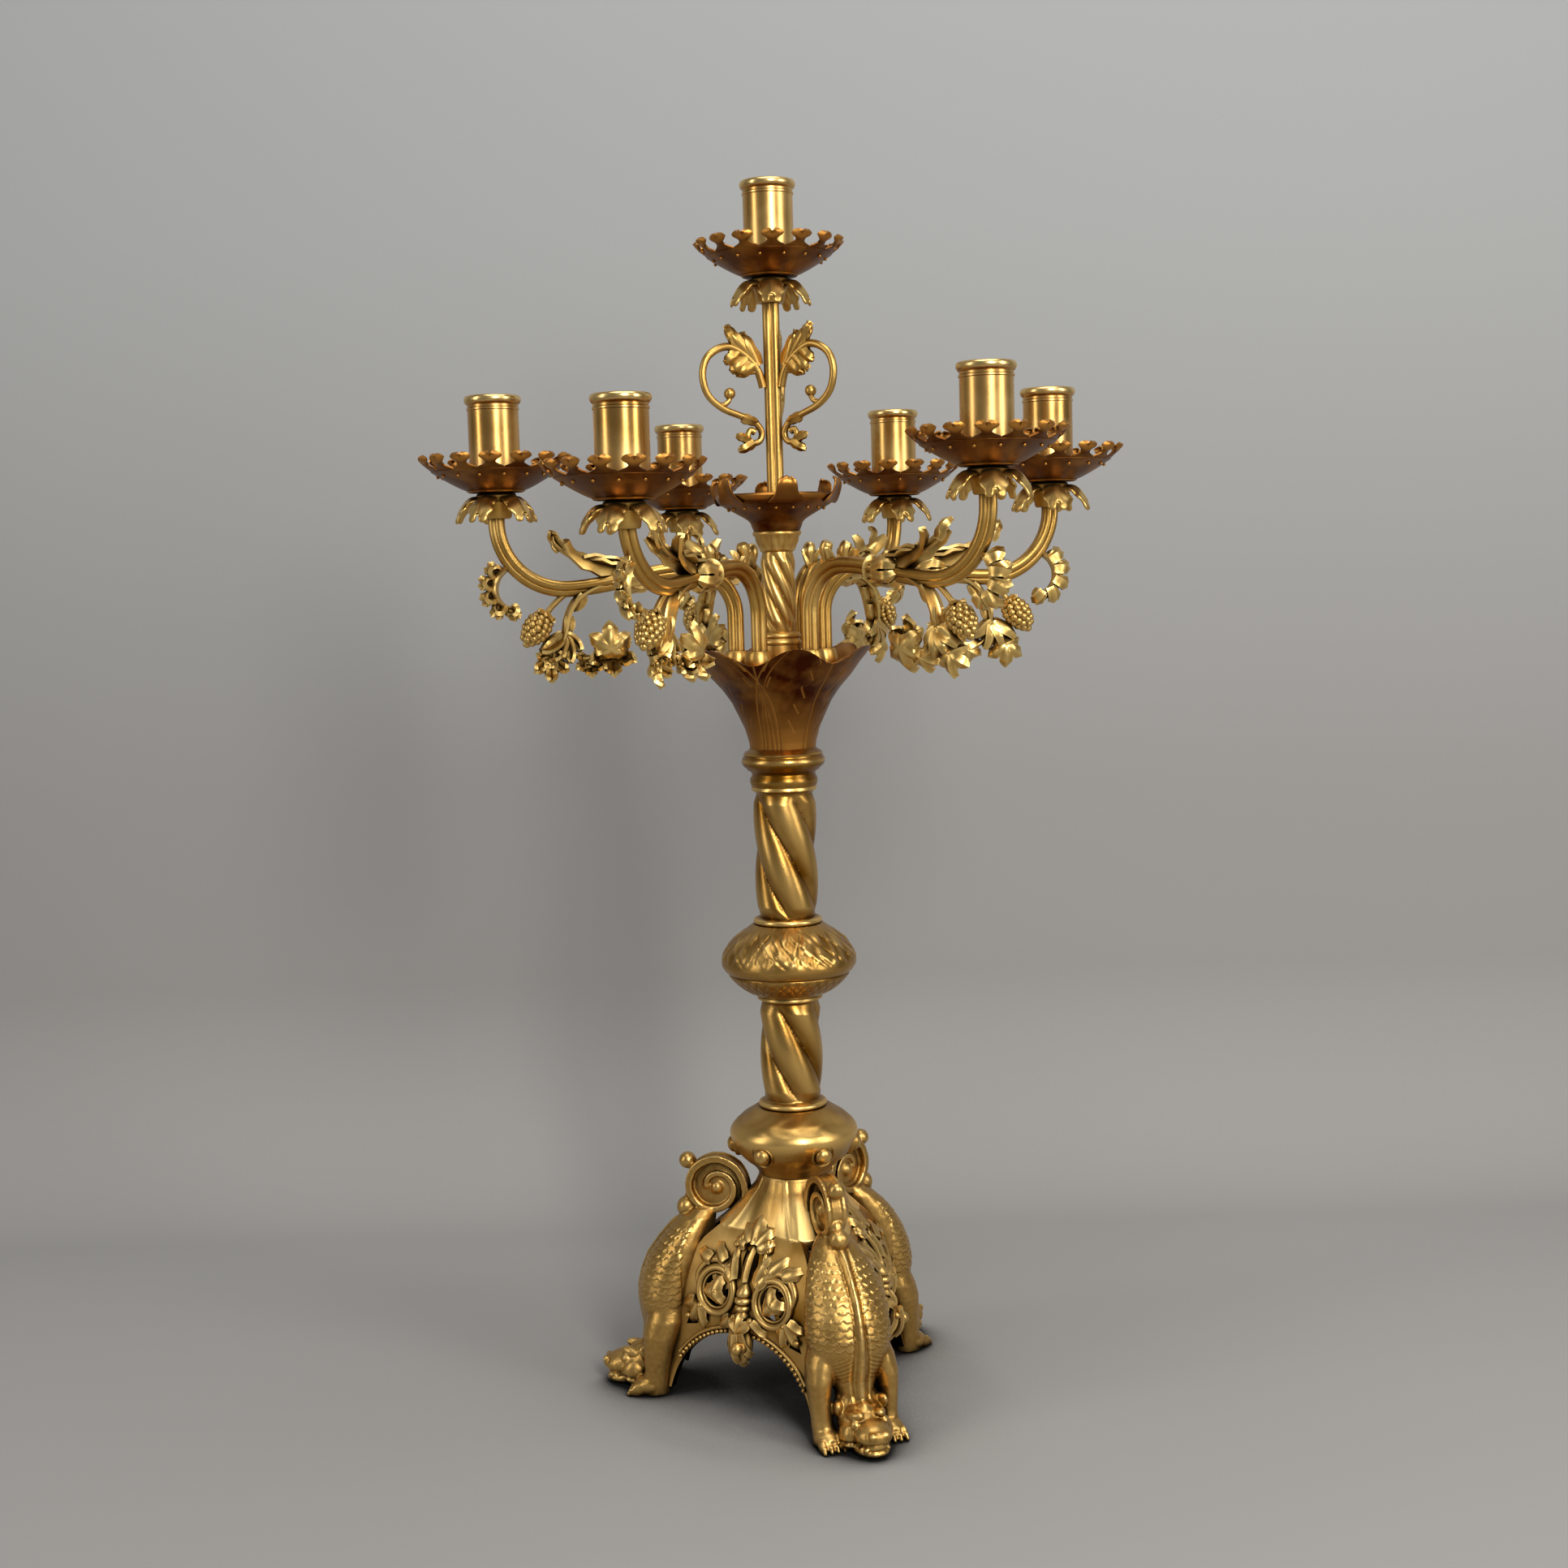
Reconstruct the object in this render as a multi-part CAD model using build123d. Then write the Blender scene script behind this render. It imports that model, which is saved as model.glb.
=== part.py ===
from build123d import *
import math
import os

# Seven-light altar candelabrum in cast and turned brass, millimetres, +Z up.
# The origin is the point of the floor under the column axis. The front of the
# object faces -Y. A compass angle here is 0 at the front and grows towards +X.

# Column, the height of each piece, from the floor upwards
NECK_TOP = 132.0
NECK_HEIGHT = 29.0
LOWER_KNOP_HEIGHT = 39.0
LOWER_COLUMN_HEIGHT = 66.0
MID_KNOP_HEIGHT = 42.0
UPPER_COLUMN_HEIGHT = 80.0
COLLAR_RINGS_HEIGHT = 22.0
CALYX_HEIGHT = 59.0
CENTRE_COLUMN_HEIGHT = 65.0
CROWN_DISH_HEIGHT = 22.0
CENTRE_STEM_HEIGHT = 133.2

# Column, radii and walls
NECK_TOP_RADIUS = 21.0
NECK_FOOT_RADIUS = 34.0
NECK_WALL = 3.5
NECK_WEB = 4.0
LOWER_KNOP_RADIUS = 37.4
LOWER_KNOP_WIDEST = 24.0
MID_KNOP_RADIUS = 39.2
MID_KNOP_WIDEST = 19.0
MID_KNOP_FOOT_RADIUS = 18.9
MID_KNOP_HEAD_RADIUS = 20.0
MID_KNOP_GROOVE_DEPTH = 1.2
KNOP_WALL = 3.5
FLANGE_RADIUS = 21.7
FLANGE_HEIGHT = 4.0
COLUMN_RIDGE_RADIUS = 18.1
COLUMN_FLUTE_RADIUS = 15.0
COLUMN_LOBES = 4
COLUMN_PITCH = 152.0
COLLAR_RING_RADIUS = 24.1
COLLAR_GROOVE_RADIUS = 18.5
COLLAR_FOOT_RADIUS = 19.4
COLLAR_HEAD_RADIUS = 18.9
BOSS_RADIUS = 4.6
BOSS_COUNT = 6
BOSS_HEIGHT_ON_KNOP = 16.0
BOSS_PHASE = -32.0

# Calyx with its arms' hub
CALYX_TIP_RADIUS = 57.6
CALYX_DIP_RADIUS = 45.0
CALYX_PETALS = 6
CALYX_PHASE = 10.0
CALYX_WALL = 2.2
CALYX_FLOOR = 3.0
HUB_BOSS_RADIUS = 12.0
HUB_PLATE_RADIUS = 34.5
HUB_PLATE_THICKNESS = 6.0
HUB_PLATE_DROP = 13.0

# Rod that holds the column together
ROD_RADIUS = 4.0
ROD_NUT_FLATS = 13.0
ROD_NUT_HEIGHT = 6.5
ROD_TAIL = 4.5
ROD_ENGAGEMENT = 13.0
WASHER_RADIUS = 10.0
WASHER_THICKNESS = 1.6

# Centre column, crown dish, stem and scrolls
CENTRE_RING_RADIUS = 12.2
CENTRE_RING_HEIGHT = 7.0
CENTRE_RIDGE_RADIUS = 9.7
CENTRE_FLUTE_RADIUS = 8.5
CENTRE_CORE_MARGIN = 0.8
CENTRE_STRANDS = 6
CENTRE_PITCH = 86.0
CENTRE_HEAD_RADIUS = 13.2
CENTRE_HEAD_HEIGHT = 9.0
CROWN_RIM_RADIUS = 34.6
CROWN_WALL = 1.8
CROWN_POINTS = 6
CROWN_POINT_PHASE = 10.0
CROWN_POINT_RISE = 7.0
SCROLL_REACH = 41.0
SCROLL_TUBE_RADIUS = 2.1
SCROLL_MIDDLE = 590.0
SCROLL_ANGLES = [-67.0, 53.0, 173.0]

# Arms
ARM_ANGLES = [-80.0, -29.0, 44.0, 95.0, 151.5, -157.5]
ARM_RIM_HEIGHTS = [583.0, 573.0, 586.0, 582.0, 581.0, 576.0]
ARM_REACH = 157.8
ARM_ROOT_RADIUS = 25.0
ARM_CREST_HEIGHT = 485.0
ARM_TROUGH_HEIGHT = 476.0
ARM_INNER_BEND = 27.0
ARM_OUTER_BEND = 36.8
TUBE_LOBE_RADIUS = 3.1
TUBE_LOBE_OFFSET = 2.8
TENON_RADIUS = 3.5
TENON_TAIL = 1.0
ARM_NUT_FLATS = 11.0
ARM_NUT_HEIGHT = 4.0
ROOT_SHEATH_RADIUS = 7.2
ROOT_SHEATH_HEIGHT = 9.0

# Candle fittings
CUP_HEIGHT = 51.0
CUP_RADIUS = 14.2
CUP_LIP_RADIUS = 15.9
CUP_LIP_HEIGHT = 4.5
CANDLE_RADIUS = 11.2
CANDLE_DEPTH = 38.0
SPIGOT_RADIUS = 3.0
SPIGOT_ENGAGEMENT = 9.0
PAN_RIM_RADIUS = 43.4
PAN_FLOOR_RADIUS = 15.5
PAN_DEPTH = 20.5
PAN_WALL = 1.5
PAN_TEETH = 15
PAN_NOTCH_RADIUS = 3.4
COLLAR_BODY_RADIUS = 8.0
COLLAR_BODY_HEIGHT = 12.0
COLLAR_SEAT_DEPTH = 7.5
COLLAR_LEAF_RADIUS = 20.5
COLLAR_LEAF_DROP = 19.0
COLLAR_LEAF_THICKNESS = 1.6
COLLAR_LEAVES = 5

# Foliage on each arm, in the arm's own upright plane
BUD_ANGLE_ON_BEND = 62.0
BUD_LENGTH = 13.0
BUD_RADIUS = 3.2
KNOT_RADIUS = 8.0
KNOT_LENGTH = 11.0
KNOT_REACH = 84.0
UPPER_LEAF_LENGTH = 40.0
UPPER_LEAF_WIDTH = 13.0
LEAF_THICKNESS = 2.4
VINE_RADIUS = 1.9
BUNCH_LENGTH = 22.0
BUNCH_RADIUS = 7.0
BUNCH_REACH = 141.0
BUNCH_HEIGHT = 453.0
STRIP_REACH = 122.0
STRIP_FOOT_HEIGHT = 445.0
STRIP_WIDTH = 9.0
VINE_LEAF_REACH = 97.0
VINE_LEAF_HEIGHT = 438.0
VINE_LEAF_RADIUS = 12.0
CURL_REACH = 163.0
CURL_HEIGHT = 475.0
CURL_WIDTH = 9.0

# Base
BEAST_ANGLES = [20.9, -99.1, 140.9]
BEAST_BACK_RADIUS = 95.4
BEAST_BACK_HEIGHT = 60.0
BEAST_HALF_WIDTH = 23.0
BEAST_MUZZLE_RADIUS = 119.5
HEAD_HALF_WIDTH = 13.5
HEAD_HEIGHT = 23.0
LEG_SPREAD = 17.0
LEG_REACH = 82.0
PAW_LENGTH = 21.0
PAW_HALF_WIDTH = 6.8
PAW_HEIGHT = 12.0
VOLUTE_REACH = 46.0
VOLUTE_HEIGHT = 121.0
VOLUTE_RADIUS = 17.0
VOLUTE_WIDTH = 11.0
BERRY_RADIUS = 5.0
PANEL_TOP_REACH = 33.5
PANEL_MIDDLE_REACH = 48.5
PANEL_FOOT_REACH = 58.0
PANEL_WALL = 4.0
ARCH_HALF_WIDTH = 53.0
ARCH_HEIGHT = 47.0
ROUNDEL_SPREAD = 21.0
ROUNDEL_HEIGHT = 69.0
ROUNDEL_RADIUS = 11.0
ROSETTE_RADIUS = 5.5
SLOT_WIDTH = 4.0
SLOT_HEIGHT = 11.0
PENDANT_LENGTH = 22.0

# Fits
ROD_CLEARANCE = 0.4
THREAD_CLEARANCE = 0.05
SPIGOT_CLEARANCE = 0.2
SEAT_CLEARANCE = 0.4

# Heights of the joints between the pieces
LOWER_KNOP_BASE = NECK_TOP
LOWER_COLUMN_BASE = LOWER_KNOP_BASE + LOWER_KNOP_HEIGHT
MID_KNOP_BASE = LOWER_COLUMN_BASE + LOWER_COLUMN_HEIGHT
UPPER_COLUMN_BASE = MID_KNOP_BASE + MID_KNOP_HEIGHT
COLLAR_RINGS_BASE = UPPER_COLUMN_BASE + UPPER_COLUMN_HEIGHT
CALYX_BASE = COLLAR_RINGS_BASE + COLLAR_RINGS_HEIGHT
HUB_TOP = CALYX_BASE + CALYX_HEIGHT
HUB_PLATE_TOP = HUB_TOP - HUB_PLATE_DROP
CROWN_BASE = HUB_TOP + CENTRE_COLUMN_HEIGHT
STEM_BASE = CROWN_BASE + CROWN_WALL
STEM_TOP = STEM_BASE + CENTRE_STEM_HEIGHT
NECK_FOOT = NECK_TOP - NECK_HEIGHT
FITTING_HEIGHT = COLLAR_SEAT_DEPTH + PAN_WALL + CUP_HEIGHT
SPIGOT_LENGTH = COLLAR_SEAT_DEPTH + PAN_WALL + SPIGOT_ENGAGEMENT


def compass(angle):
    """A turn about the column that takes +X to a compass angle."""
    return Rot(0, 0, angle - 90)


def turned(*points):
    """A solid of revolution from (radius, height) corners."""
    outline = Plane.XZ * make_face(Polyline(*points, close=True))
    return revolve(outline, Axis.Z)


def offset_points(curve, wall, count):
    """Points of a (radius, height) curve moved in by the wall, towards its left."""
    points = []
    for step in range(count + 1):
        share = step / count
        tangent = curve % share
        point = curve @ share
        points.append((point.X - wall * tangent.Y, point.Y + wall * tangent.X))
    return points


def shell(points, wall):
    """A turned wall whose outer side is a smooth curve through the points."""
    outer = Spline(*points)
    inner = Spline(*offset_points(outer, wall, 8))
    closed = [outer, Line(outer @ 1, inner @ 1), inner, Line(inner @ 0, outer @ 0)]
    return revolve(Plane.XZ * make_face(closed), Axis.Z)


def lobed_face(lobes, ridge, flute):
    """A round section with lobes that reach the ridge and meet at the flute."""
    half = math.pi / lobes
    offset = (ridge**2 - flute**2) / (2 * (ridge - flute * math.cos(half)))
    section = Circle(flute * 0.98)
    for lobe in range(lobes):
        place = Pos(offset * math.cos(2 * half * lobe), offset * math.sin(2 * half * lobe))
        section += place * Circle(ridge - offset)
    return section.faces()[0]


def twisted(section, height, pitch):
    """A section that turns clockwise as it climbs, seen from above."""
    turn = -360 * height / pitch
    return Solid.extrude_linear_with_rotation(section, (0, 0, 0), (0, 0, height), turn)


def hexagon_nut(flats, height, bore):
    """A plain hexagon nut standing on its lower face."""
    corners = RegularPolygon(flats / 2, 6, major_radius=False)
    return extrude(corners - Circle(bore), height)


# Turned pieces of the column
def knop(height, widest, foot, head, largest):
    """A hollow cast bulb: two quarter ellipses outside, a wall inside, a bore."""
    lower = EllipticalCenterArc((foot, widest), largest - foot, widest, 270, arc_size=90)
    upper = EllipticalCenterArc((head, widest), largest - head, height - widest, 0, arc_size=90)
    outside = [lower, upper, Line(upper @ 1, (0, height)), Line((0, height), (0, 0))]
    outside.append(Line((0, 0), lower @ 0))
    body = revolve(Plane.XZ * make_face(outside), Axis.Z)
    inner = largest - KNOP_WALL
    room = turned(
        (0, KNOP_WALL),
        (foot - KNOP_WALL, KNOP_WALL),
        (inner, widest - 2),
        (inner, widest + 2),
        (head - KNOP_WALL, height - KNOP_WALL),
        (0, height - KNOP_WALL),
    )
    bore = Pos(0, 0, height / 2) * Cylinder(ROD_RADIUS + ROD_CLEARANCE, 2 * height)
    return body - room - bore


def make_base_neck():
    """The smooth flare over the three panels, with the web that the rod pulls on."""
    profile = [
        (NECK_FOOT_RADIUS, 0),
        ((NECK_FOOT_RADIUS + NECK_TOP_RADIUS) / 2 - 1.5, NECK_HEIGHT * 0.5),
        (NECK_TOP_RADIUS, NECK_HEIGHT),
    ]
    wall = shell(profile, NECK_WALL)
    web = Pos(0, 0, NECK_WEB / 2) * Cylinder(NECK_FOOT_RADIUS - NECK_WALL, NECK_WEB)
    cap_height = NECK_HEIGHT - NECK_WALL / 2
    cap = Pos(0, 0, cap_height) * Cylinder(NECK_TOP_RADIUS - NECK_WALL / 2, NECK_WALL)
    bore = Cylinder(ROD_RADIUS + ROD_CLEARANCE, 4 * NECK_HEIGHT)
    below = Pos(0, 0, -NECK_HEIGHT) * Cylinder(2 * NECK_FOOT_RADIUS, 2 * NECK_HEIGHT)
    return Pos(0, 0, NECK_FOOT) * (wall + web + cap - bore - below)


def make_lower_knop():
    """The smooth bulb on the base, drilled for its six bosses."""
    body = knop(LOWER_KNOP_HEIGHT, LOWER_KNOP_WIDEST, NECK_TOP_RADIUS, FLANGE_RADIUS, LOWER_KNOP_RADIUS)
    for place in boss_places():
        body -= place * Pos(0, 0, -KNOP_WALL) * Cylinder(BOSS_RADIUS / 2, 4 * KNOP_WALL)
    return Pos(0, 0, LOWER_KNOP_BASE) * body


def boss_places():
    """Where each boss sits on the knop, with its axis pointing outwards."""
    places = []
    drop = 1 - BOSS_HEIGHT_ON_KNOP / LOWER_KNOP_WIDEST
    reach = NECK_TOP_RADIUS + (LOWER_KNOP_RADIUS - NECK_TOP_RADIUS) * math.sqrt(1 - drop**2)
    for index in range(BOSS_COUNT):
        turn = compass(BOSS_PHASE + 360 * index / BOSS_COUNT)
        places.append(turn * Pos(reach, 0, BOSS_HEIGHT_ON_KNOP) * Rot(0, 100, 0))
    return places


def make_lower_knop_bosses():
    """Six riveted cabochons: a dome on a washer, with a shank in the knop's wall."""
    knop_body = knop(LOWER_KNOP_HEIGHT, LOWER_KNOP_WIDEST, NECK_TOP_RADIUS, FLANGE_RADIUS, LOWER_KNOP_RADIUS)
    bosses = []
    for place in boss_places():
        shank = Pos(0, 0, -KNOP_WALL / 2) * Cylinder(BOSS_RADIUS / 2, KNOP_WALL)
        dome = Sphere(BOSS_RADIUS) & Pos(0, 0, BOSS_RADIUS / 2) * Cylinder(BOSS_RADIUS, BOSS_RADIUS)
        washer = Pos(0, 0, 0.4) * Cylinder(BOSS_RADIUS + 1.2, 2.8)
        cap = place * (dome + washer) - knop_body
        bosses.append(Pos(0, 0, LOWER_KNOP_BASE) * (cap.solids().sort_by(SortBy.VOLUME)[-1] + place * shank))
    return Compound(children=[boss.solids()[0] for boss in bosses])


def twisted_column(height):
    """A four-lobed twist between two plain flanges, bored for the rod."""
    twist = twisted(
        lobed_face(COLUMN_LOBES, COLUMN_RIDGE_RADIUS, COLUMN_FLUTE_RADIUS),
        height - 2 * FLANGE_HEIGHT,
        COLUMN_PITCH,
    )
    ring = COLUMN_RIDGE_RADIUS + 0.8
    foot = Pos(0, 0, FLANGE_HEIGHT / 2) * Cylinder(ring, FLANGE_HEIGHT)
    head = Pos(0, 0, height - FLANGE_HEIGHT / 2) * Cylinder(ring, FLANGE_HEIGHT)
    bore = Pos(0, 0, height / 2) * Cylinder(ROD_RADIUS + ROD_CLEARANCE, 2 * height)
    return Pos(0, 0, FLANGE_HEIGHT) * twist + foot + head - bore


def make_mid_knop():
    """The chased bulb at mid height, with a groove under its widest part."""
    body = knop(
        MID_KNOP_HEIGHT, MID_KNOP_WIDEST, MID_KNOP_FOOT_RADIUS, MID_KNOP_HEAD_RADIUS, MID_KNOP_RADIUS
    )
    level = MID_KNOP_WIDEST - 5.5
    reach = MID_KNOP_FOOT_RADIUS + (MID_KNOP_RADIUS - MID_KNOP_FOOT_RADIUS) * math.sqrt(
        1 - (1 - level / MID_KNOP_WIDEST) ** 2
    )
    groove = Pos(0, 0, level) * Torus(reach, MID_KNOP_GROOVE_DEPTH)
    return Pos(0, 0, MID_KNOP_BASE) * (body - groove)


def make_collar_rings():
    """Two turned mouldings under the calyx."""
    upper_half = COLLAR_RINGS_HEIGHT / 2
    lower_ring = Ellipse(COLLAR_FOOT_RADIUS, upper_half * 0.5)
    upper_ring = Ellipse(COLLAR_RING_RADIUS, upper_half * 0.62)
    core = Pos(0, 0, upper_half) * Cylinder(COLLAR_GROOVE_RADIUS - 1.5, COLLAR_RINGS_HEIGHT)
    body = core
    for ring, level in ((lower_ring, upper_half * 0.42), (upper_ring, upper_half * 1.34)):
        half_section = ring & Pos(COLLAR_RING_RADIUS, 0) * Rectangle(2 * COLLAR_RING_RADIUS, 100)
        body += Pos(0, 0, level) * revolve(Plane.XZ * half_section, Axis.Z)
    body &= Pos(0, 0, upper_half) * Cylinder(2 * COLLAR_RING_RADIUS, COLLAR_RINGS_HEIGHT)
    foot = Pos(0, 0, 0.75) * Cylinder(COLUMN_RIDGE_RADIUS + 0.8, 1.5)
    head = Pos(0, 0, COLLAR_RINGS_HEIGHT - 0.75) * Cylinder(COLLAR_HEAD_RADIUS, 1.5)
    bore = Cylinder(ROD_RADIUS + ROD_CLEARANCE, 4 * COLLAR_RINGS_HEIGHT)
    return Pos(0, 0, COLLAR_RINGS_BASE) * (body + foot + head - bore)


def calyx_outline():
    """The calyx's outer side, (radius, height over its base) from foot to rim."""
    reach = CALYX_TIP_RADIUS - COLLAR_HEAD_RADIUS
    shares = [(0, 0), (0.067, 0.2), (0.24, 0.45), (0.46, 0.644), (0.648, 0.83), (1.03, 1.05)]
    return [(COLLAR_HEAD_RADIUS + reach * out, CALYX_HEIGHT * up) for out, up in shares]


def make_calyx():
    """The flower of six petals that holds the arms, with a wavy rim and a floor."""
    wall = shell(calyx_outline(), CALYX_WALL)
    floor = Pos(0, 0, CALYX_FLOOR / 2) * Cylinder(COLLAR_HEAD_RADIUS - CALYX_WALL / 2, CALYX_FLOOR)
    rim = compass(CALYX_PHASE) * lobed_face(CALYX_PETALS, CALYX_TIP_RADIUS, CALYX_DIP_RADIUS)
    body = (wall + floor) & extrude(rim, 2 * CALYX_HEIGHT)
    bore = Cylinder(ROD_RADIUS + ROD_CLEARANCE, 4 * CALYX_FLOOR)
    return Pos(0, 0, CALYX_BASE) * (body - bore)


def arm_turns():
    """The turn about the column that brings +X to each arm."""
    return [compass(angle) for angle in ARM_ANGLES]


def make_arm_hub():
    """The plate inside the calyx that the six arms bolt to, on a boss on the rod."""
    boss_base = CALYX_BASE + CALYX_FLOOR
    boss_height = HUB_TOP - boss_base
    boss = Pos(0, 0, boss_base + boss_height / 2) * Cylinder(HUB_BOSS_RADIUS, boss_height)
    plate_middle = HUB_PLATE_TOP - HUB_PLATE_THICKNESS / 2
    plate = Pos(0, 0, plate_middle) * Cylinder(HUB_PLATE_RADIUS, HUB_PLATE_THICKNESS)
    body = boss + plate
    for turn in arm_turns():
        hole = Cylinder(TENON_RADIUS + THREAD_CLEARANCE, 2 * HUB_PLATE_THICKNESS)
        body -= turn * Pos(ARM_ROOT_RADIUS, 0, plate_middle) * hole
    bore = Pos(0, 0, plate_middle) * Cylinder(ROD_RADIUS + ROD_CLEARANCE, 4 * boss_height)
    return body - bore


def make_arm_nuts():
    """The six nuts under the hub plate, one on each arm's tenon."""
    nut = hexagon_nut(ARM_NUT_FLATS, ARM_NUT_HEIGHT, TENON_RADIUS + THREAD_CLEARANCE)
    base = HUB_PLATE_TOP - HUB_PLATE_THICKNESS - ARM_NUT_HEIGHT
    places = [turn * Pos(ARM_ROOT_RADIUS, 0, base) for turn in arm_turns()]
    return Compound(children=[(place * Rot(0, 0, 30) * nut).solids()[0] for place in places])


# Rod and its fastening
def make_tie_rod():
    """The steel rod from under the base's web to the centre column."""
    foot = NECK_FOOT - WASHER_THICKNESS - ROD_NUT_HEIGHT - ROD_TAIL
    top = HUB_TOP + ROD_ENGAGEMENT - 1
    return Pos(0, 0, (foot + top) / 2) * Cylinder(ROD_RADIUS, top - foot)


def make_tie_rod_washer():
    """The washer between the web and the rod's nut."""
    ring = Circle(WASHER_RADIUS) - Circle(ROD_RADIUS + ROD_CLEARANCE)
    return Pos(0, 0, NECK_FOOT - WASHER_THICKNESS) * extrude(ring, WASHER_THICKNESS)


def make_tie_rod_nut():
    """The nut that pulls the whole column together."""
    nut = hexagon_nut(ROD_NUT_FLATS, ROD_NUT_HEIGHT, ROD_RADIUS + THREAD_CLEARANCE)
    return Pos(0, 0, NECK_FOOT - WASHER_THICKNESS - ROD_NUT_HEIGHT) * nut


# Centre pieces over the calyx
def make_centre_column():
    """The small rope-twist column, tapped for the rod, with a spigot on top."""
    ring_part = CENTRE_RING_HEIGHT / 2
    core_radius = CENTRE_RIDGE_RADIUS + CENTRE_CORE_MARGIN
    body = Pos(0, 0, ring_part) * Cylinder(core_radius, CENTRE_RING_HEIGHT)
    for level in (ring_part / 2, ring_part * 1.5):
        body += Pos(0, 0, level) * Torus(CENTRE_RING_RADIUS - ring_part / 2, ring_part / 2)
    body &= Pos(0, 0, CENTRE_COLUMN_HEIGHT / 2) * Cylinder(2 * CENTRE_RING_RADIUS, CENTRE_COLUMN_HEIGHT)
    twist_height = CENTRE_COLUMN_HEIGHT - CENTRE_RING_HEIGHT - CENTRE_HEAD_HEIGHT
    section = lobed_face(CENTRE_STRANDS, CENTRE_RIDGE_RADIUS, CENTRE_FLUTE_RADIUS)
    body += Pos(0, 0, CENTRE_RING_HEIGHT) * twisted(section, twist_height, CENTRE_PITCH)
    head_base = CENTRE_COLUMN_HEIGHT - CENTRE_HEAD_HEIGHT
    body += turned(
        (0, head_base),
        (core_radius, head_base),
        (core_radius + 0.6, head_base + CENTRE_HEAD_HEIGHT * 0.5),
        (CENTRE_HEAD_RADIUS, CENTRE_COLUMN_HEIGHT - 1.5),
        (CENTRE_HEAD_RADIUS, CENTRE_COLUMN_HEIGHT),
        (0, CENTRE_COLUMN_HEIGHT),
    )
    spigot_length = CROWN_WALL + SPIGOT_ENGAGEMENT - 1
    body += Pos(0, 0, CENTRE_COLUMN_HEIGHT + spigot_length / 2) * Cylinder(SPIGOT_RADIUS, spigot_length)
    tapped = Pos(0, 0, ROD_ENGAGEMENT / 2) * Cylinder(ROD_RADIUS + THREAD_CLEARANCE, ROD_ENGAGEMENT)
    return Pos(0, 0, HUB_TOP) * (body - tapped)


def make_crown_dish():
    """The shallow dish under the stem, its rim drawn up into six leaf points."""
    profile = [
        (CENTRE_HEAD_RADIUS, 0),
        (CENTRE_HEAD_RADIUS + 4, CROWN_DISH_HEIGHT * 0.27),
        (CROWN_RIM_RADIUS * 0.72, CROWN_DISH_HEIGHT * 0.5),
        (CROWN_RIM_RADIUS * 0.93, CROWN_DISH_HEIGHT * 0.71),
        (CROWN_RIM_RADIUS, CROWN_DISH_HEIGHT),
    ]
    body = shell(profile, CROWN_WALL)
    body += Pos(0, 0, CROWN_WALL / 2) * Cylinder(CENTRE_HEAD_RADIUS, CROWN_WALL)
    point_inside = CROWN_RIM_RADIUS - CROWN_WALL * 0.7
    point_profile = [
        (point_inside, CROWN_DISH_HEIGHT - 3),
        (CROWN_RIM_RADIUS + 0.3, CROWN_DISH_HEIGHT - 3),
        (CROWN_RIM_RADIUS + 2.5, CROWN_DISH_HEIGHT + CROWN_POINT_RISE * 0.4),
        (CROWN_RIM_RADIUS + 1.2, CROWN_DISH_HEIGHT + CROWN_POINT_RISE),
        (point_inside, CROWN_DISH_HEIGHT + CROWN_POINT_RISE * 0.4),
    ]
    ring = turned(*point_profile)
    corners = [(5.5, -4), (4.0, 3), (0, CROWN_POINT_RISE), (-4.0, 3), (-5.5, -4)]
    outline = make_face(Polyline(*corners, close=True))
    window = extrude(Plane.YZ * outline, 2 * CROWN_RIM_RADIUS)
    for index in range(CROWN_POINTS):
        turn = compass(CROWN_POINT_PHASE + 360 * index / CROWN_POINTS)
        body += ring & turn * Pos(0, 0, CROWN_DISH_HEIGHT) * window
    hole = Cylinder(SPIGOT_RADIUS + SPIGOT_CLEARANCE, 4 * CROWN_WALL)
    return Pos(0, 0, CROWN_BASE) * (body - hole)


def tube_face():
    """The section of the arms and the stem: three rods run together."""
    section = Circle(TUBE_LOBE_RADIUS)
    for lobe in range(3):
        turn = math.radians(90 + 120 * lobe)
        place = Pos(TUBE_LOBE_OFFSET * math.cos(turn), TUBE_LOBE_OFFSET * math.sin(turn))
        section += place * Circle(TUBE_LOBE_RADIUS)
    return section.faces()[0]


def make_centre_stem():
    """The straight cluster stem, tapped below, with the top cup's spigot."""
    stem = extrude(tube_face(), CENTRE_STEM_HEIGHT)
    tapped = Pos(0, 0, SPIGOT_ENGAGEMENT / 2) * Cylinder(SPIGOT_RADIUS + THREAD_CLEARANCE, SPIGOT_ENGAGEMENT)
    spigot = Pos(0, 0, CENTRE_STEM_HEIGHT + SPIGOT_LENGTH / 2) * Cylinder(SPIGOT_RADIUS, SPIGOT_LENGTH)
    return Pos(0, 0, STEM_BASE) * (Rot(0, 0, 180) * stem - tapped + spigot)


def swept_rod(edges, radius):
    """A round rod along tangent lines and arcs drawn as (radius, height)."""
    path = Plane.XZ * Wire(edges)
    start = Plane(origin=path @ 0, z_dir=path % 0, x_dir=(0, 1, 0))
    return sweep(start * Circle(radius), path=path)


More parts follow.
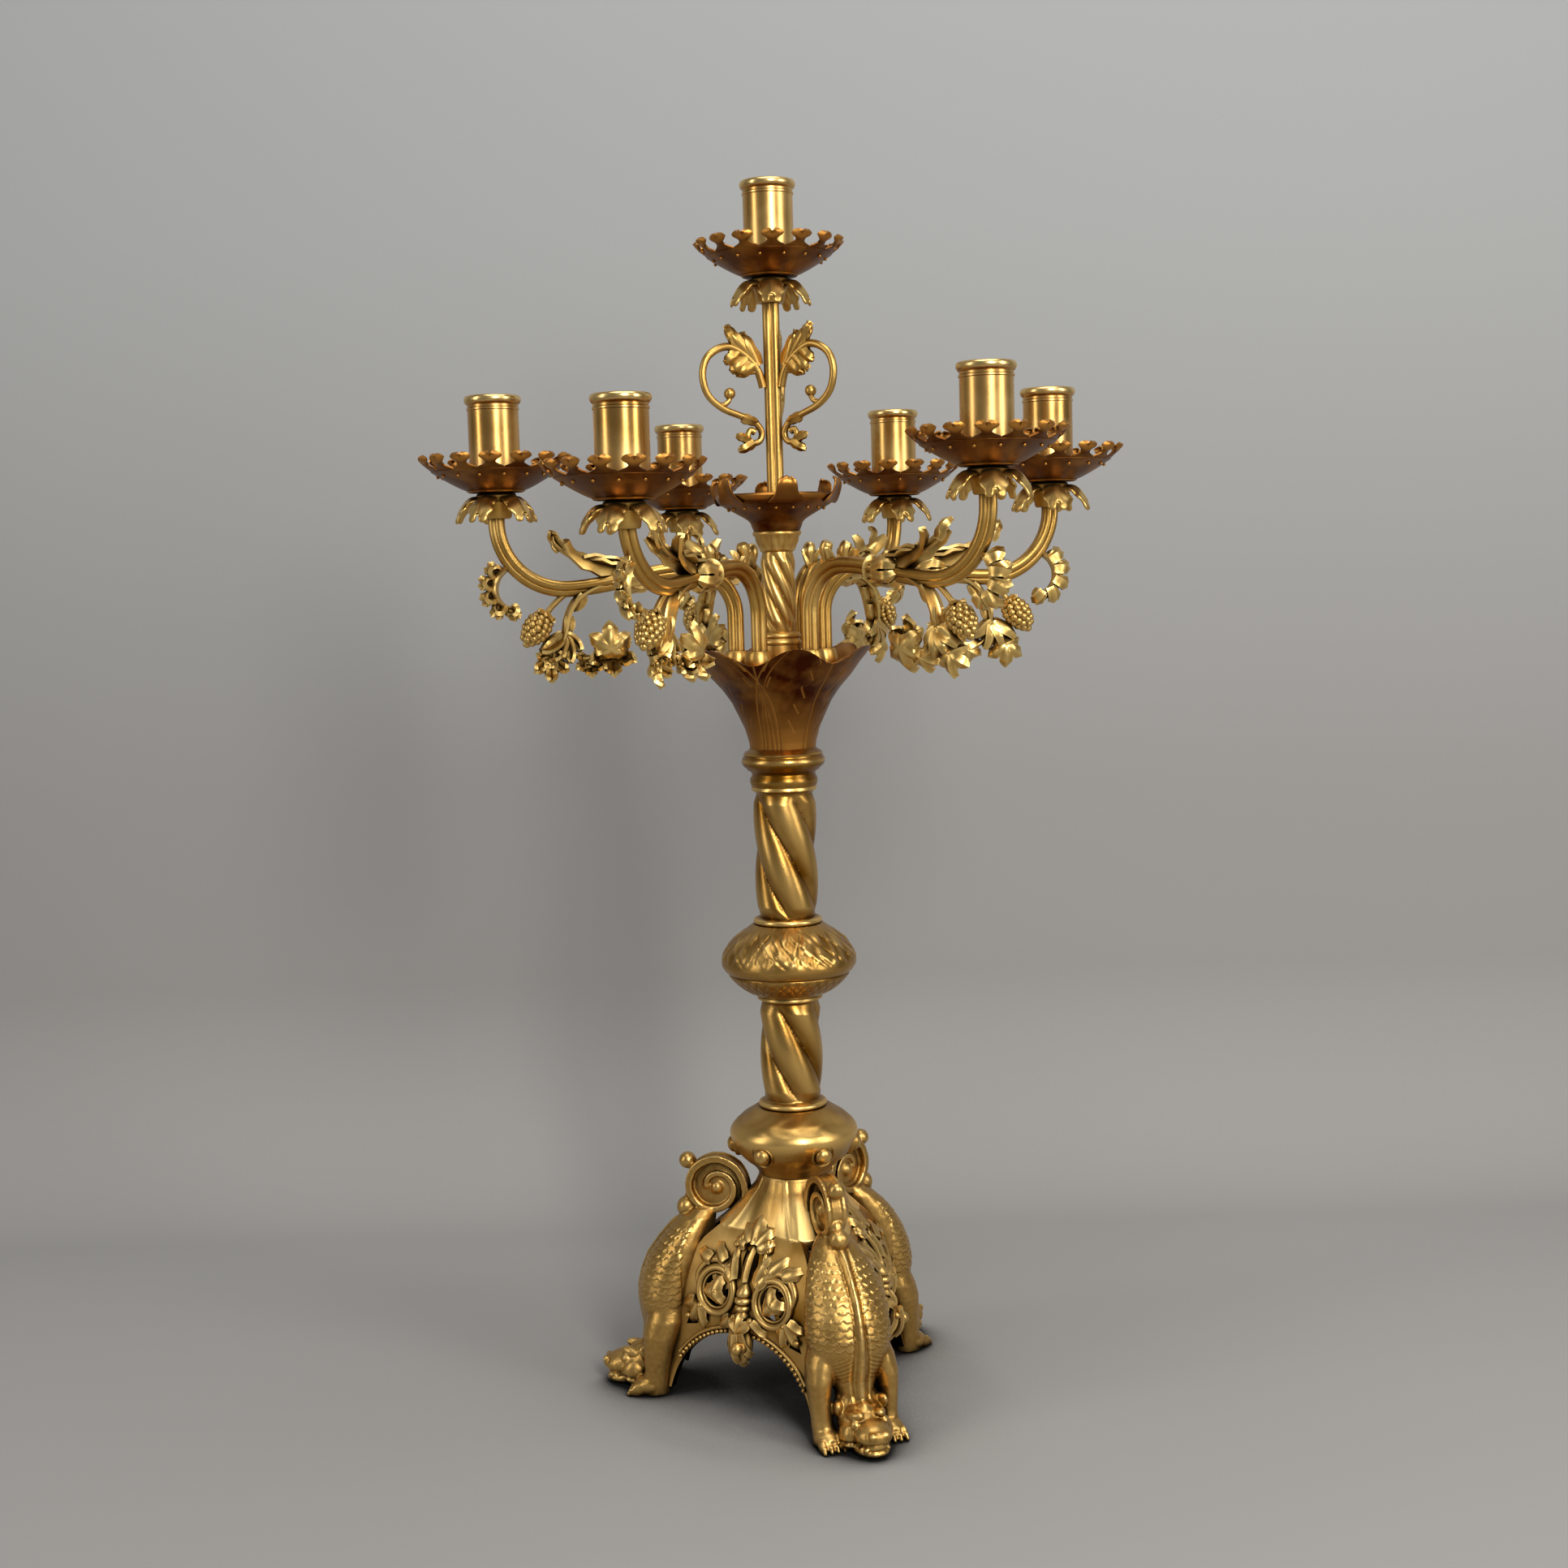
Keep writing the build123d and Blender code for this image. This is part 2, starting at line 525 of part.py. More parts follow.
def make_centre_scroll(stem):
    """One C-shaped scroll: a bow, its lower curl, an inner ball and a top leaf."""
    outer = SCROLL_REACH - SCROLL_TUBE_RADIUS
    middle = SCROLL_MIDDLE
    crown = Line((9.5, middle + 6), (19, middle + 15.5))
    top = TangentArc(crown @ 1, (outer, middle), tangent=(0.8, 0.6))
    low = TangentArc((outer, middle), (27, middle - 18), tangent=(0, -1))
    sweep_in = TangentArc(low @ 1, (11, middle - 26.5), tangent=low % 1)
    curl = TangentArc(sweep_in @ 1, (11.5, middle - 34.5), tangent=sweep_in % 1)
    bow = swept_rod([top, low, sweep_in, curl], SCROLL_TUBE_RADIUS)
    ball_reach = outer - 13.5
    ball = Pos(ball_reach, 0, middle - 9) * Sphere(3.3)
    stalk = swept_rod([Line((ball_reach, middle - 9), (low @ 0.95))], 1.4)
    curl_end = Pos(13.5, 0, middle - 32.5) * Sphere(3.2)
    leaf_outline = Polyline(
        (3, middle - 8), (7, middle + 5), (13, middle + 11), (14, middle + 4), (18, middle + 8),
        (21, middle + 7), (24, middle + 13), (27, middle + 20), (30, middle + 28), (24, middle + 24),
        (15, middle + 19), (8, middle + 13), (3, middle + 3), close=True,
    )
    leaf = extrude(Plane.XZ * make_face(leaf_outline), 2.2, both=True)
    piece = bow + ball + stalk + curl_end + leaf
    return (piece - stem).solids().sort_by(SortBy.VOLUME)[-1]


# Arms and what they carry
def arm_route(top):
    """The arm's centre line from the hub plate to the seat of its leaf collar."""
    crest_reach = ARM_ROOT_RADIUS + ARM_INNER_BEND
    trough_reach = ARM_REACH - ARM_OUTER_BEND
    middle = ((crest_reach + trough_reach) / 2, (ARM_CREST_HEIGHT + ARM_TROUGH_HEIGHT) / 2)
    rise = Line((ARM_ROOT_RADIUS, HUB_PLATE_TOP), (ARM_ROOT_RADIUS, ARM_CREST_HEIGHT - ARM_INNER_BEND))
    inner = TangentArc(rise @ 1, (crest_reach, ARM_CREST_HEIGHT), tangent=(0, 1))
    fall = TangentArc(inner @ 1, middle, tangent=(1, 0))
    level = TangentArc(middle, (trough_reach, ARM_TROUGH_HEIGHT), tangent=fall % 1)
    outer = TangentArc(level @ 1, (ARM_REACH, ARM_TROUGH_HEIGHT + ARM_OUTER_BEND), tangent=(1, 0))
    end = Line(outer @ 1, (ARM_REACH, top))
    return [rise, inner, fall, level, outer, end]


def arm_top(rim_height):
    """The height of an arm's collar seat under a cup with that rim."""
    return rim_height - FITTING_HEIGHT


def make_arm(rim_height):
    """An arm along +X: cluster tube, root sheath, tenon below, spigot above."""
    top = arm_top(rim_height)
    path = Plane.XZ * Wire(arm_route(top))
    start = Plane(origin=path @ 0, z_dir=path % 0, x_dir=(0, 1, 0))
    tube = sweep(start * tube_face(), path=path)
    sheath_middle = HUB_PLATE_TOP + ROOT_SHEATH_HEIGHT / 2
    sheath = Pos(ARM_ROOT_RADIUS, 0, sheath_middle) * Cylinder(ROOT_SHEATH_RADIUS, ROOT_SHEATH_HEIGHT)
    tenon_length = HUB_PLATE_THICKNESS + ARM_NUT_HEIGHT + TENON_TAIL
    tenon_middle = HUB_PLATE_TOP - tenon_length / 2
    tenon = Pos(ARM_ROOT_RADIUS, 0, tenon_middle) * Cylinder(TENON_RADIUS, tenon_length)
    spigot = Pos(ARM_REACH, 0, top + SPIGOT_LENGTH / 2) * Cylinder(SPIGOT_RADIUS, SPIGOT_LENGTH)
    return tube + sheath + tenon + spigot


def flat_leaf(outline, thickness):
    """A leaf cut from plate, its outline drawn in the arm's upright plane."""
    return extrude(Plane.XZ * make_face(outline), thickness / 2, both=True)


def vine_leaf_outline(centre, radius):
    """A five-pointed vine leaf, its stalk side uppermost."""
    points = []
    for step in range(10):
        angle = math.radians(90 + 36 * step)
        reach = radius * (1.15 if step % 2 else 0.55)
        points.append((centre[0] + reach * math.cos(angle), centre[1] + reach * math.sin(angle)))
    return Polyline(*points, close=True)


def make_bud():
    """The bud that stands on the crest of the arm."""
    turn = math.radians(BUD_ANGLE_ON_BEND)
    centre = (ARM_ROOT_RADIUS + ARM_INNER_BEND, ARM_CREST_HEIGHT - ARM_INNER_BEND)
    foot = (centre[0] - ARM_INNER_BEND * math.cos(turn), centre[1] + ARM_INNER_BEND * math.sin(turn))
    bud = Cylinder(BUD_RADIUS * 0.7, BUD_LENGTH) + Pos(0, 0, BUD_LENGTH / 2) * Sphere(BUD_RADIUS)
    return Pos(foot[0], 0, foot[1] + BUD_LENGTH / 2) * bud


def make_upper_leaf():
    """The long acanthus leaf that rises from the knot over the arm."""
    foot = (KNOT_REACH + 2, ARM_TROUGH_HEIGHT + 8)
    tip = (foot[0] + UPPER_LEAF_LENGTH, foot[1] + 19)
    top = ThreePointArc(foot, (foot[0] + UPPER_LEAF_LENGTH * 0.55, foot[1] + 5.5), tip)
    bottom = ThreePointArc((foot[0], foot[1] - 3), (foot[0] + UPPER_LEAF_LENGTH * 0.6, foot[1] + 2), tip)
    outline = [top, bottom, Line(bottom @ 0, top @ 0)]
    return extrude(Plane.XZ * make_face(outline), UPPER_LEAF_WIDTH / 2, both=True)


def make_curl():
    """The curled leaf that hangs under the arm's outer bend."""
    outer = ThreePointArc(
        (CURL_REACH - 8, CURL_HEIGHT + 12), (CURL_REACH + 3, CURL_HEIGHT), (CURL_REACH - 9, CURL_HEIGHT - 12)
    )
    inner = ThreePointArc(outer @ 1, (CURL_REACH - 5, CURL_HEIGHT), outer @ 0)
    body = extrude(Plane.XZ * make_face([outer, inner]), CURL_WIDTH / 2, both=True)
    bend_middle = (ARM_REACH - ARM_OUTER_BEND, ARM_TROUGH_HEIGHT + ARM_OUTER_BEND)
    turn = math.radians(-38)
    root = (
        bend_middle[0] + ARM_OUTER_BEND * math.cos(turn),
        bend_middle[1] + ARM_OUTER_BEND * math.sin(turn),
    )
    stalk = swept_rod([Line(root, (CURL_REACH - 6, CURL_HEIGHT + 9))], VINE_RADIUS)
    return body + stalk


def make_bunch():
    """The bunch of berries on its stalk."""
    trough = ARM_REACH - ARM_OUTER_BEND
    stalk_top = (trough + 1, ARM_TROUGH_HEIGHT - 2)
    centre = (BUNCH_REACH, BUNCH_HEIGHT)
    stalk = swept_rod([Line(stalk_top, centre)], VINE_RADIUS)
    body = scale(Sphere(1), by=(BUNCH_RADIUS, BUNCH_RADIUS, BUNCH_LENGTH / 2))
    return stalk + Pos(centre[0], 0, centre[1]) * Rot(0, -28, 0) * body


def make_vine():
    """The hanging acanthus strip, its tendril and the vine leaf at the end."""
    top = (STRIP_REACH - 14, ARM_TROUGH_HEIGHT - 1)
    foot = (STRIP_REACH, STRIP_FOOT_HEIGHT)
    outer = ThreePointArc(top, (STRIP_REACH - 1, (top[1] + foot[1]) / 2 + 2), foot)
    inner = ThreePointArc(foot, (STRIP_REACH - 5, (top[1] + foot[1]) / 2 - 2), (top[0] - 5, top[1]))
    outline = [outer, inner, Line(inner @ 1, top)]
    strip = extrude(Plane.XZ * make_face(outline), STRIP_WIDTH / 2, both=True)
    tip = flat_leaf(
        Polyline(
            (foot[0] - 3, foot[1] + 6), (foot[0] + 1, foot[1] + 6), (foot[0] + 8, foot[1] - 3),
            (foot[0] + 2, foot[1] - 1), (foot[0], foot[1] - 6), (foot[0] - 2, foot[1] - 1),
            (foot[0] - 6, foot[1] - 4), close=True,
        ),
        STRIP_WIDTH * 0.8,
    )
    leaf_centre = (VINE_LEAF_REACH, VINE_LEAF_HEIGHT)
    sag = (VINE_LEAF_REACH + 14, STRIP_FOOT_HEIGHT - 10)
    tendril = swept_rod([ThreePointArc(foot, sag, leaf_centre)], VINE_RADIUS)
    leaf = flat_leaf(vine_leaf_outline(leaf_centre, VINE_LEAF_RADIUS), LEAF_THICKNESS)
    return strip + tip + tendril + leaf


def make_knot():
    """The leafy knot that wraps the arm where the foliage starts."""
    fall_middle = (ARM_CREST_HEIGHT + ARM_TROUGH_HEIGHT) / 2
    knot = Cylinder(KNOT_RADIUS, KNOT_LENGTH) - Cylinder(TUBE_LOBE_RADIUS, 2 * KNOT_LENGTH)
    return Pos(KNOT_REACH, 0, fall_middle + 0.4) * Rot(0, 98, 0) * knot


def make_arm_foliage(arm):
    """The castings brazed on one arm, each a solid that ends at the arm's tube."""
    pieces = [make_bud(), make_knot() + make_upper_leaf(), make_curl(), make_bunch(), make_vine()]
    kept = []
    for piece in pieces:
        kept.append((piece - arm).solids().sort_by(SortBy.VOLUME)[-1])
    return kept


def make_leaf_collar():
    """The collar of drooping leaves under a pan, its top face at height 0."""
    body = Pos(0, 0, -COLLAR_BODY_HEIGHT / 2) * Cylinder(COLLAR_BODY_RADIUS, COLLAR_BODY_HEIGHT)
    droop = Spline(
        (COLLAR_LEAF_RADIUS, -COLLAR_LEAF_DROP),
        (COLLAR_LEAF_RADIUS * 0.86, -COLLAR_LEAF_DROP * 0.62),
        (COLLAR_LEAF_RADIUS * 0.62, -COLLAR_LEAF_DROP * 0.36),
        (COLLAR_BODY_RADIUS * 0.9, -COLLAR_LEAF_DROP * 0.36),
    )
    inner = Spline(*offset_points(droop, COLLAR_LEAF_THICKNESS, 6))
    face = make_face([droop, Line(droop @ 1, inner @ 1), inner, Line(inner @ 0, droop @ 0)])
    cone = revolve(Plane.XZ * face, Axis.Z)
    plan = Circle(COLLAR_BODY_RADIUS)
    for index in range(COLLAR_LEAVES):
        turn = Rot(0, 0, 360 * index / COLLAR_LEAVES)
        plan += turn * Pos(COLLAR_LEAF_RADIUS * 0.6, 0) * Ellipse(COLLAR_LEAF_RADIUS * 0.42, 5.6)
        for side in (-1, 1):
            plan += turn * Pos(COLLAR_LEAF_RADIUS * 0.72, 3.6 * side) * Circle(3.2)
    leaves = cone & Pos(0, 0, -2 * COLLAR_LEAF_DROP) * extrude(plan, 2 * COLLAR_LEAF_DROP)
    body += leaves
    tube_reach = TUBE_LOBE_OFFSET + TUBE_LOBE_RADIUS + SEAT_CLEARANCE
    seat_height = COLLAR_BODY_HEIGHT - COLLAR_SEAT_DEPTH
    seat = Pos(0, 0, -COLLAR_SEAT_DEPTH - seat_height) * Cylinder(tube_reach, 2 * seat_height)
    hole = Cylinder(SPIGOT_RADIUS + SPIGOT_CLEARANCE, 4 * COLLAR_BODY_HEIGHT)
    return (body - seat - hole).solids().sort_by(SortBy.VOLUME)[-1]


def make_drip_pan():
    """The toothed drip pan, its underside at height 0."""
    slope = PAN_RIM_RADIUS - PAN_FLOOR_RADIUS
    profile = [
        (PAN_FLOOR_RADIUS, 0),
        (PAN_FLOOR_RADIUS + slope * 0.29, PAN_DEPTH * 0.22),
        (PAN_FLOOR_RADIUS + slope * 0.78, PAN_DEPTH * 0.66),
        (PAN_RIM_RADIUS, PAN_DEPTH),
    ]
    body = shell(profile, PAN_WALL)
    body += Pos(0, 0, PAN_WALL / 2) * Cylinder(PAN_FLOOR_RADIUS, PAN_WALL)
    for tooth in range(PAN_TEETH):
        turn = Rot(0, 0, 360 * (tooth + 0.5) / PAN_TEETH)
        body -= turn * Pos(PAN_RIM_RADIUS, 0, PAN_DEPTH) * Cylinder(PAN_NOTCH_RADIUS, PAN_DEPTH)
    return body - Cylinder(SPIGOT_RADIUS + SPIGOT_CLEARANCE, 4 * PAN_WALL)


def make_candle_cup():
    """The turned candle cup, its seat on the pan at height 0, tapped below."""
    lip_base = CUP_HEIGHT - CUP_LIP_HEIGHT
    floor = CUP_HEIGHT - CANDLE_DEPTH
    body = turned(
        (0, 0),
        (CUP_RADIUS, 0),
        (CUP_RADIUS, lip_base),
        (CUP_LIP_RADIUS - 0.5, lip_base + 0.8),
        (CUP_LIP_RADIUS, lip_base + CUP_LIP_HEIGHT * 0.6),
        (CUP_LIP_RADIUS - 0.5, CUP_HEIGHT - 0.4),
        (CUP_LIP_RADIUS - 1.2, CUP_HEIGHT),
        (CANDLE_RADIUS, CUP_HEIGHT),
        (CANDLE_RADIUS, floor),
        (0, floor),
    )
    depth = SPIGOT_ENGAGEMENT + 0.5
    return body - Pos(0, 0, depth / 2) * Cylinder(SPIGOT_RADIUS + THREAD_CLEARANCE, depth)


# Base
def ellipse_loft(sections):
    """A body through upright-axis ellipses: (reach, side, height, half depth, half width)."""
    faces = []
    for reach, side, height, depth, width in sections:
        faces.append(Pos(reach, side, height) * Ellipse(depth, width))
    return loft(faces)


def make_beast():
    """One corner beast along +X: scaled body, biting head, two paws and a volute."""
    back = BEAST_BACK_RADIUS
    level = BEAST_BACK_HEIGHT
    half = BEAST_HALF_WIDTH
    body = ellipse_loft([
        (VOLUTE_REACH + 6, 0, VOLUTE_HEIGHT - 4, 7, VOLUTE_WIDTH * 0.6),
        (back - 35, 0, level + 38, 14, half * 0.62),
        (back - 27, 0, level + 23, 17, half * 0.86),
        (back - 20, 0, level, 20, half),
        (back - 19, 0, level - 14, 18.5, half * 0.93),
        (back - 18, 0, level - 24, 15.5, half * 0.74),
        (back - 14, 0, level - 36, 12.5, HEAD_HALF_WIDTH * 0.85),
        (back - 10, 0, level - 46, 12.0, HEAD_HALF_WIDTH * 0.85),
    ])
    head_faces = []
    for reach, height, depth, width in (
        (back - 16, HEAD_HEIGHT * 0.62, HEAD_HEIGHT * 0.42, HEAD_HALF_WIDTH * 0.75),
        (back + 6, HEAD_HEIGHT * 0.52, HEAD_HEIGHT * 0.50, HEAD_HALF_WIDTH),
        (back + 14, HEAD_HEIGHT * 0.46, HEAD_HEIGHT * 0.45, HEAD_HALF_WIDTH * 0.95),
        (BEAST_MUZZLE_RADIUS, HEAD_HEIGHT * 0.34, HEAD_HEIGHT * 0.30, HEAD_HALF_WIDTH * 0.62),
    ):
        plane = Plane(origin=(reach, 0, height), z_dir=(1, 0, 0), x_dir=(0, 1, 0))
        head_faces.append(plane * Ellipse(width, depth))
    beast = body + loft(head_faces)
    for side in (-1, 1):
        beast += ellipse_loft([
            (LEG_REACH - 7, side * LEG_SPREAD * 0.72, level - 18, 9, PAW_HALF_WIDTH * 1.2),
            (LEG_REACH - 2, side * LEG_SPREAD * 0.92, level - 34, 7.5, PAW_HALF_WIDTH),
            (LEG_REACH - 1, side * LEG_SPREAD, PAW_HEIGHT * 0.4, 8, PAW_HALF_WIDTH * 0.95),
        ])
        paw = scale(Sphere(1), by=(PAW_LENGTH / 2, PAW_HALF_WIDTH, PAW_HEIGHT))
        beast += Pos(LEG_REACH + 2, side * LEG_SPREAD, 0) * paw
    volute_place = Pos(VOLUTE_REACH, 0, VOLUTE_HEIGHT) * Rot(90, 0, 0)
    volute = Cylinder(VOLUTE_RADIUS, VOLUTE_WIDTH)
    for side in (-1, 1):
        groove = Circle(VOLUTE_RADIUS * 0.78) - Circle(VOLUTE_RADIUS * 0.42)
        volute -= Pos(0, 0, side * VOLUTE_WIDTH / 2) * extrude(groove, 1.6, both=True)
    beast += volute_place * volute
    for turn in (48, -35):
        angle = math.radians(turn)
        reach = VOLUTE_RADIUS + BERRY_RADIUS * 0.75
        place = Pos(VOLUTE_REACH + reach * math.cos(angle), 0, VOLUTE_HEIGHT + reach * math.sin(angle))
        beast += place * Sphere(BERRY_RADIUS)
    floor_block = Pos(BEAST_MUZZLE_RADIUS, 0, -50) * Box(4 * BEAST_MUZZLE_RADIUS, 200, 100)
    return beast - floor_block


def panel_outline():
    """The front view of a panel before its arch: half width at each height."""
    return Polyline(
        (-30, NECK_FOOT), (30, NECK_FOOT), (38, 95), (44, 86), (53, 60), (62, 30), (66, 6),
        (-66, 6), (-62, 30), (-53, 60), (-44, 86), (-38, 95),
        close=True,
    )


def panel_section():
    """The upright section of a panel, (reach, height), before it is drawn sideways."""
    outer = Spline(
        (PANEL_FOOT_REACH, 0),
        (PANEL_MIDDLE_REACH + 4, 35),
        (PANEL_MIDDLE_REACH, ROUNDEL_HEIGHT),
        (PANEL_TOP_REACH, NECK_FOOT),
    )
    inner = Spline(*offset_points(outer, PANEL_WALL, 8))
    return make_face([outer, Line(outer @ 1, inner @ 1), inner, Line(inner @ 0, outer @ 0)])


def make_base_panel(beasts):
    """One pierced side along +X between two beasts, with its arch and pendant."""
    sheet = extrude(Plane.XZ * panel_section(), 70, both=True)
    face = make_face(panel_outline())
    arch = Ellipse(ARCH_HALF_WIDTH, ARCH_HEIGHT)
    face -= arch
    for side in (-1, 1):
        ring = Pos(side * ROUNDEL_SPREAD, ROUNDEL_HEIGHT) * (Circle(ROUNDEL_RADIUS) - Circle(ROSETTE_RADIUS))
        spokes = Rectangle(3.2, 3 * ROUNDEL_RADIUS) + Rectangle(3 * ROUNDEL_RADIUS, 3.2)
        ring -= Pos(side * ROUNDEL_SPREAD, ROUNDEL_HEIGHT) * Rot(0, 0, 25) * spokes
        face -= ring
        slot_place = Pos(side * (SLOT_WIDTH * 0.5 + 1.6), ROUNDEL_HEIGHT + 19)
        face -= slot_place * Ellipse(SLOT_WIDTH / 2, SLOT_HEIGHT / 2)
        corner = Polyline((37 * side, 60), (43 * side, 45), (34 * side, 47), close=True)
        face -= make_face(corner)
    window = extrude(Plane.YZ * face, 2 * PANEL_FOOT_REACH)
    panel = sheet & window
    pendant_top = ARCH_HEIGHT + 3
    reach = PANEL_MIDDLE_REACH + 1
    pendant = scale(Sphere(1), by=(4.5, 6.5, PENDANT_LENGTH / 2))
    panel += Pos(reach + 2, 0, pendant_top - PENDANT_LENGTH * 0.4) * Rot(0, -12, 0) * pendant
    panel += Pos(reach + 8, 4, ARCH_HEIGHT - 5) * Sphere(3.4)
    for beast in beasts:
        panel -= beast
    return panel.solids().sort_by(SortBy.VOLUME)[-1]


def save(piece, name):
    """Write one sub-part."""
    export_step(piece, f"parts/{name}.step")


os.makedirs("parts", exist_ok=True)

stem = make_centre_stem()
save(make_base_neck(), "base_neck")
save(make_tie_rod(), "tie_rod")
save(make_tie_rod_washer(), "tie_rod_washer")
save(make_tie_rod_nut(), "tie_rod_nut")
save(make_lower_knop(), "lower_knop")
save(make_lower_knop_bosses(), "lower_knop_bosses")
save(Pos(0, 0, LOWER_COLUMN_BASE) * twisted_column(LOWER_COLUMN_HEIGHT), "lower_column")
save(make_mid_knop(), "mid_knop")
save(Pos(0, 0, UPPER_COLUMN_BASE) * twisted_column(UPPER_COLUMN_HEIGHT), "upper_column")
save(make_collar_rings(), "collar_rings")
save(make_calyx(), "calyx")
save(make_arm_hub(), "arm_hub")
save(make_arm_nuts(), "arm_nuts")
save(make_centre_column(), "centre_column")
save(make_crown_dish(), "crown_dish")
save(stem, "centre_stem")

scroll = make_centre_scroll(compass(SCROLL_ANGLES[0]).inverse() * stem)
for number, angle in enumerate(SCROLL_ANGLES, 1):
    save(compass(angle) * scroll, f"centre_scroll_{number}")

collar = make_leaf_collar()
pan = make_drip_pan()
cup = make_candle_cup()


def save_fittings(place, prefix, suffix):
    """Write the collar, the pan and the cup over one collar seat."""
    under_pan = place * Pos(0, 0, COLLAR_SEAT_DEPTH)
    save(under_pan * collar, f"{prefix}leaf_collar{suffix}")
    save(under_pan * pan, f"{prefix}drip_pan{suffix}")
    save(under_pan * Pos(0, 0, PAN_WALL) * cup, f"{prefix}candle_cup{suffix}")


save_fittings(Pos(0, 0, STEM_TOP), "centre_", "")
for number, (turn, rim_height) in enumerate(zip(arm_turns(), ARM_RIM_HEIGHTS), 1):
    arm = make_arm(rim_height)
    save(turn * arm, f"arm_{number}")
    foliage = [turn * piece for piece in make_arm_foliage(arm)]
    save(Compound(children=foliage), f"arm_foliage_{number}")
    save_fittings(turn * Pos(ARM_REACH, 0, arm_top(rim_height)), "", f"_{number}")

beast = make_beast()
beast_solids = []
for number, angle in enumerate(BEAST_ANGLES, 1):
    placed = compass(angle) * beast
    beast_solids.append(placed)
    save(placed, f"base_beast_{number}")
for number, angle in enumerate(BEAST_ANGLES, 1):
    middle = compass(angle - 60)
    flat = middle.inverse()
    neighbours = [flat * other for other in beast_solids]
    panel = make_base_panel(neighbours)
    save(middle * panel, f"base_panel_{number}")
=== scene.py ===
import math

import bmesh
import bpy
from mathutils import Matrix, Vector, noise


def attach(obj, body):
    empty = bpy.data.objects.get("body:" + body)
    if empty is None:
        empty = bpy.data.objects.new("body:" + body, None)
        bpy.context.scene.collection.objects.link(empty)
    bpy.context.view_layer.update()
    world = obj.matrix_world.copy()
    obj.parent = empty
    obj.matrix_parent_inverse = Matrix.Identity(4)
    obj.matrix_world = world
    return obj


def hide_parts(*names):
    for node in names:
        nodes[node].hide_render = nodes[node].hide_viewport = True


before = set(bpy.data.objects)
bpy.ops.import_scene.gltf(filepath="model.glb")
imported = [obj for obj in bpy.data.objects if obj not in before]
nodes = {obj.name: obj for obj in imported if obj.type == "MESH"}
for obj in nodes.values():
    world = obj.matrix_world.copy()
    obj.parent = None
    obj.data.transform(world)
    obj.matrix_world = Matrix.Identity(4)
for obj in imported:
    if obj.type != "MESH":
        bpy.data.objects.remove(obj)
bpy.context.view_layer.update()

# %% [markdown]
# # A seven-light altar candelabrum in gilt brass
#
# The real object is a stack of cast, turned and spun brass pieces on one steel rod. Its CAD model is loaded
# as a fixed frame, in metres, with the column on the Z axis and the front facing -Y. This file dresses that
# frame: pieces whose solid is already right keep it and get a finish, and the ornament that a foundry would
# carve into its patterns is modelled here. Lengths are written in millimetres, as on a workshop drawing.

MM = 0.001
print("CAD nodes:", len(nodes))


# %% [markdown]
# ## The camera
#
# A camera is worth placing first, because every later choice is judged through it. The photograph was taken
# from about 1.2 m, at the height of the arms, looking slightly down and held a little askew. The lens is
# given by how many pixels a metre at one metre covers, and the small roll turns the camera round its own
# axis.

# %% Camera
PICTURE_WIDTH = 1932
FOCAL_PIXELS = 2581.0
CAMERA_PLACE = (0.0, -1203.0, 482.0)
CAMERA_PITCH = 5.8
CAMERA_ROLL = -1.62
SENSOR_WIDTH = 36.0

bpy.ops.object.camera_add(location=[MM * value for value in CAMERA_PLACE])
camera = bpy.context.object
camera.name = "camera"
camera.data.sensor_width = SENSOR_WIDTH
camera.data.lens = SENSOR_WIDTH * FOCAL_PIXELS / PICTURE_WIDTH
camera.data.clip_start = 0.05
look = Matrix.Rotation(math.radians(90 - CAMERA_PITCH), 3, "X")
roll = Matrix.Rotation(math.radians(CAMERA_ROLL), 3, "Z")
camera.rotation_euler = (look @ roll).to_euler()
bpy.context.scene.camera = camera
print("lens", round(camera.data.lens, 2), "mm")


# %% [markdown]
# ## Colours and nodes
#
# Colours are read off the object as sRGB hex values, as in any paint program, while Blender's sockets want
# linear light. One function turns one into the other. A second one adds a shader node with its settings and
# its links in a single line, which keeps each finish short enough to read as a recipe.

# %% Colour and node helpers
def colour(text):
    """The linear RGBA of an sRGB hex colour."""
    values = [int(text[index:index + 2], 16) / 255 for index in (1, 3, 5)]
    linear = [v / 12.92 if v <= 0.04045 else ((v + 0.055) / 1.055) ** 2.4 for v in values]
    return (*linear, 1.0)


def add(tree, kind, settings=None, links=None):
    """One shader node with its settings, and links into its inputs."""
    made = tree.nodes.new(kind)
    for key, value in (settings or {}).items():
        if isinstance(key, int) or key in made.inputs:
            made.inputs[key].default_value = value
        else:
            setattr(made, key, value)
    for key, source in (links or {}).items():
        tree.links.new(source, made.inputs[key])
    return made


def new_material(name):
    """An empty material, and its node tree."""
    material = bpy.data.materials.new(name)
    material.use_nodes = True
    material.node_tree.nodes.clear()
    return material, material.node_tree


# %% [markdown]
# ## Gilt brass, cast and turned
#
# All the metal is brass under old gilding, so one recipe serves, with other numbers for each kind of surface.
# Three things make old gilding look old. Grime and painted shade darken the recesses, which the Ambient
# Occlusion node finds.
# High places are rubbed bright, which the mesh carries as a number called wear. And the colour drifts softly
# over centimetres. Casting skin is a fine grain of about a millimetre that breaks up the reflections.

# %% The recipe for gilt metal
# Painted shade inside the base: a near-black colour where hardly any light comes
INSIDE_SHADE_COLOUR = "#0d0906"


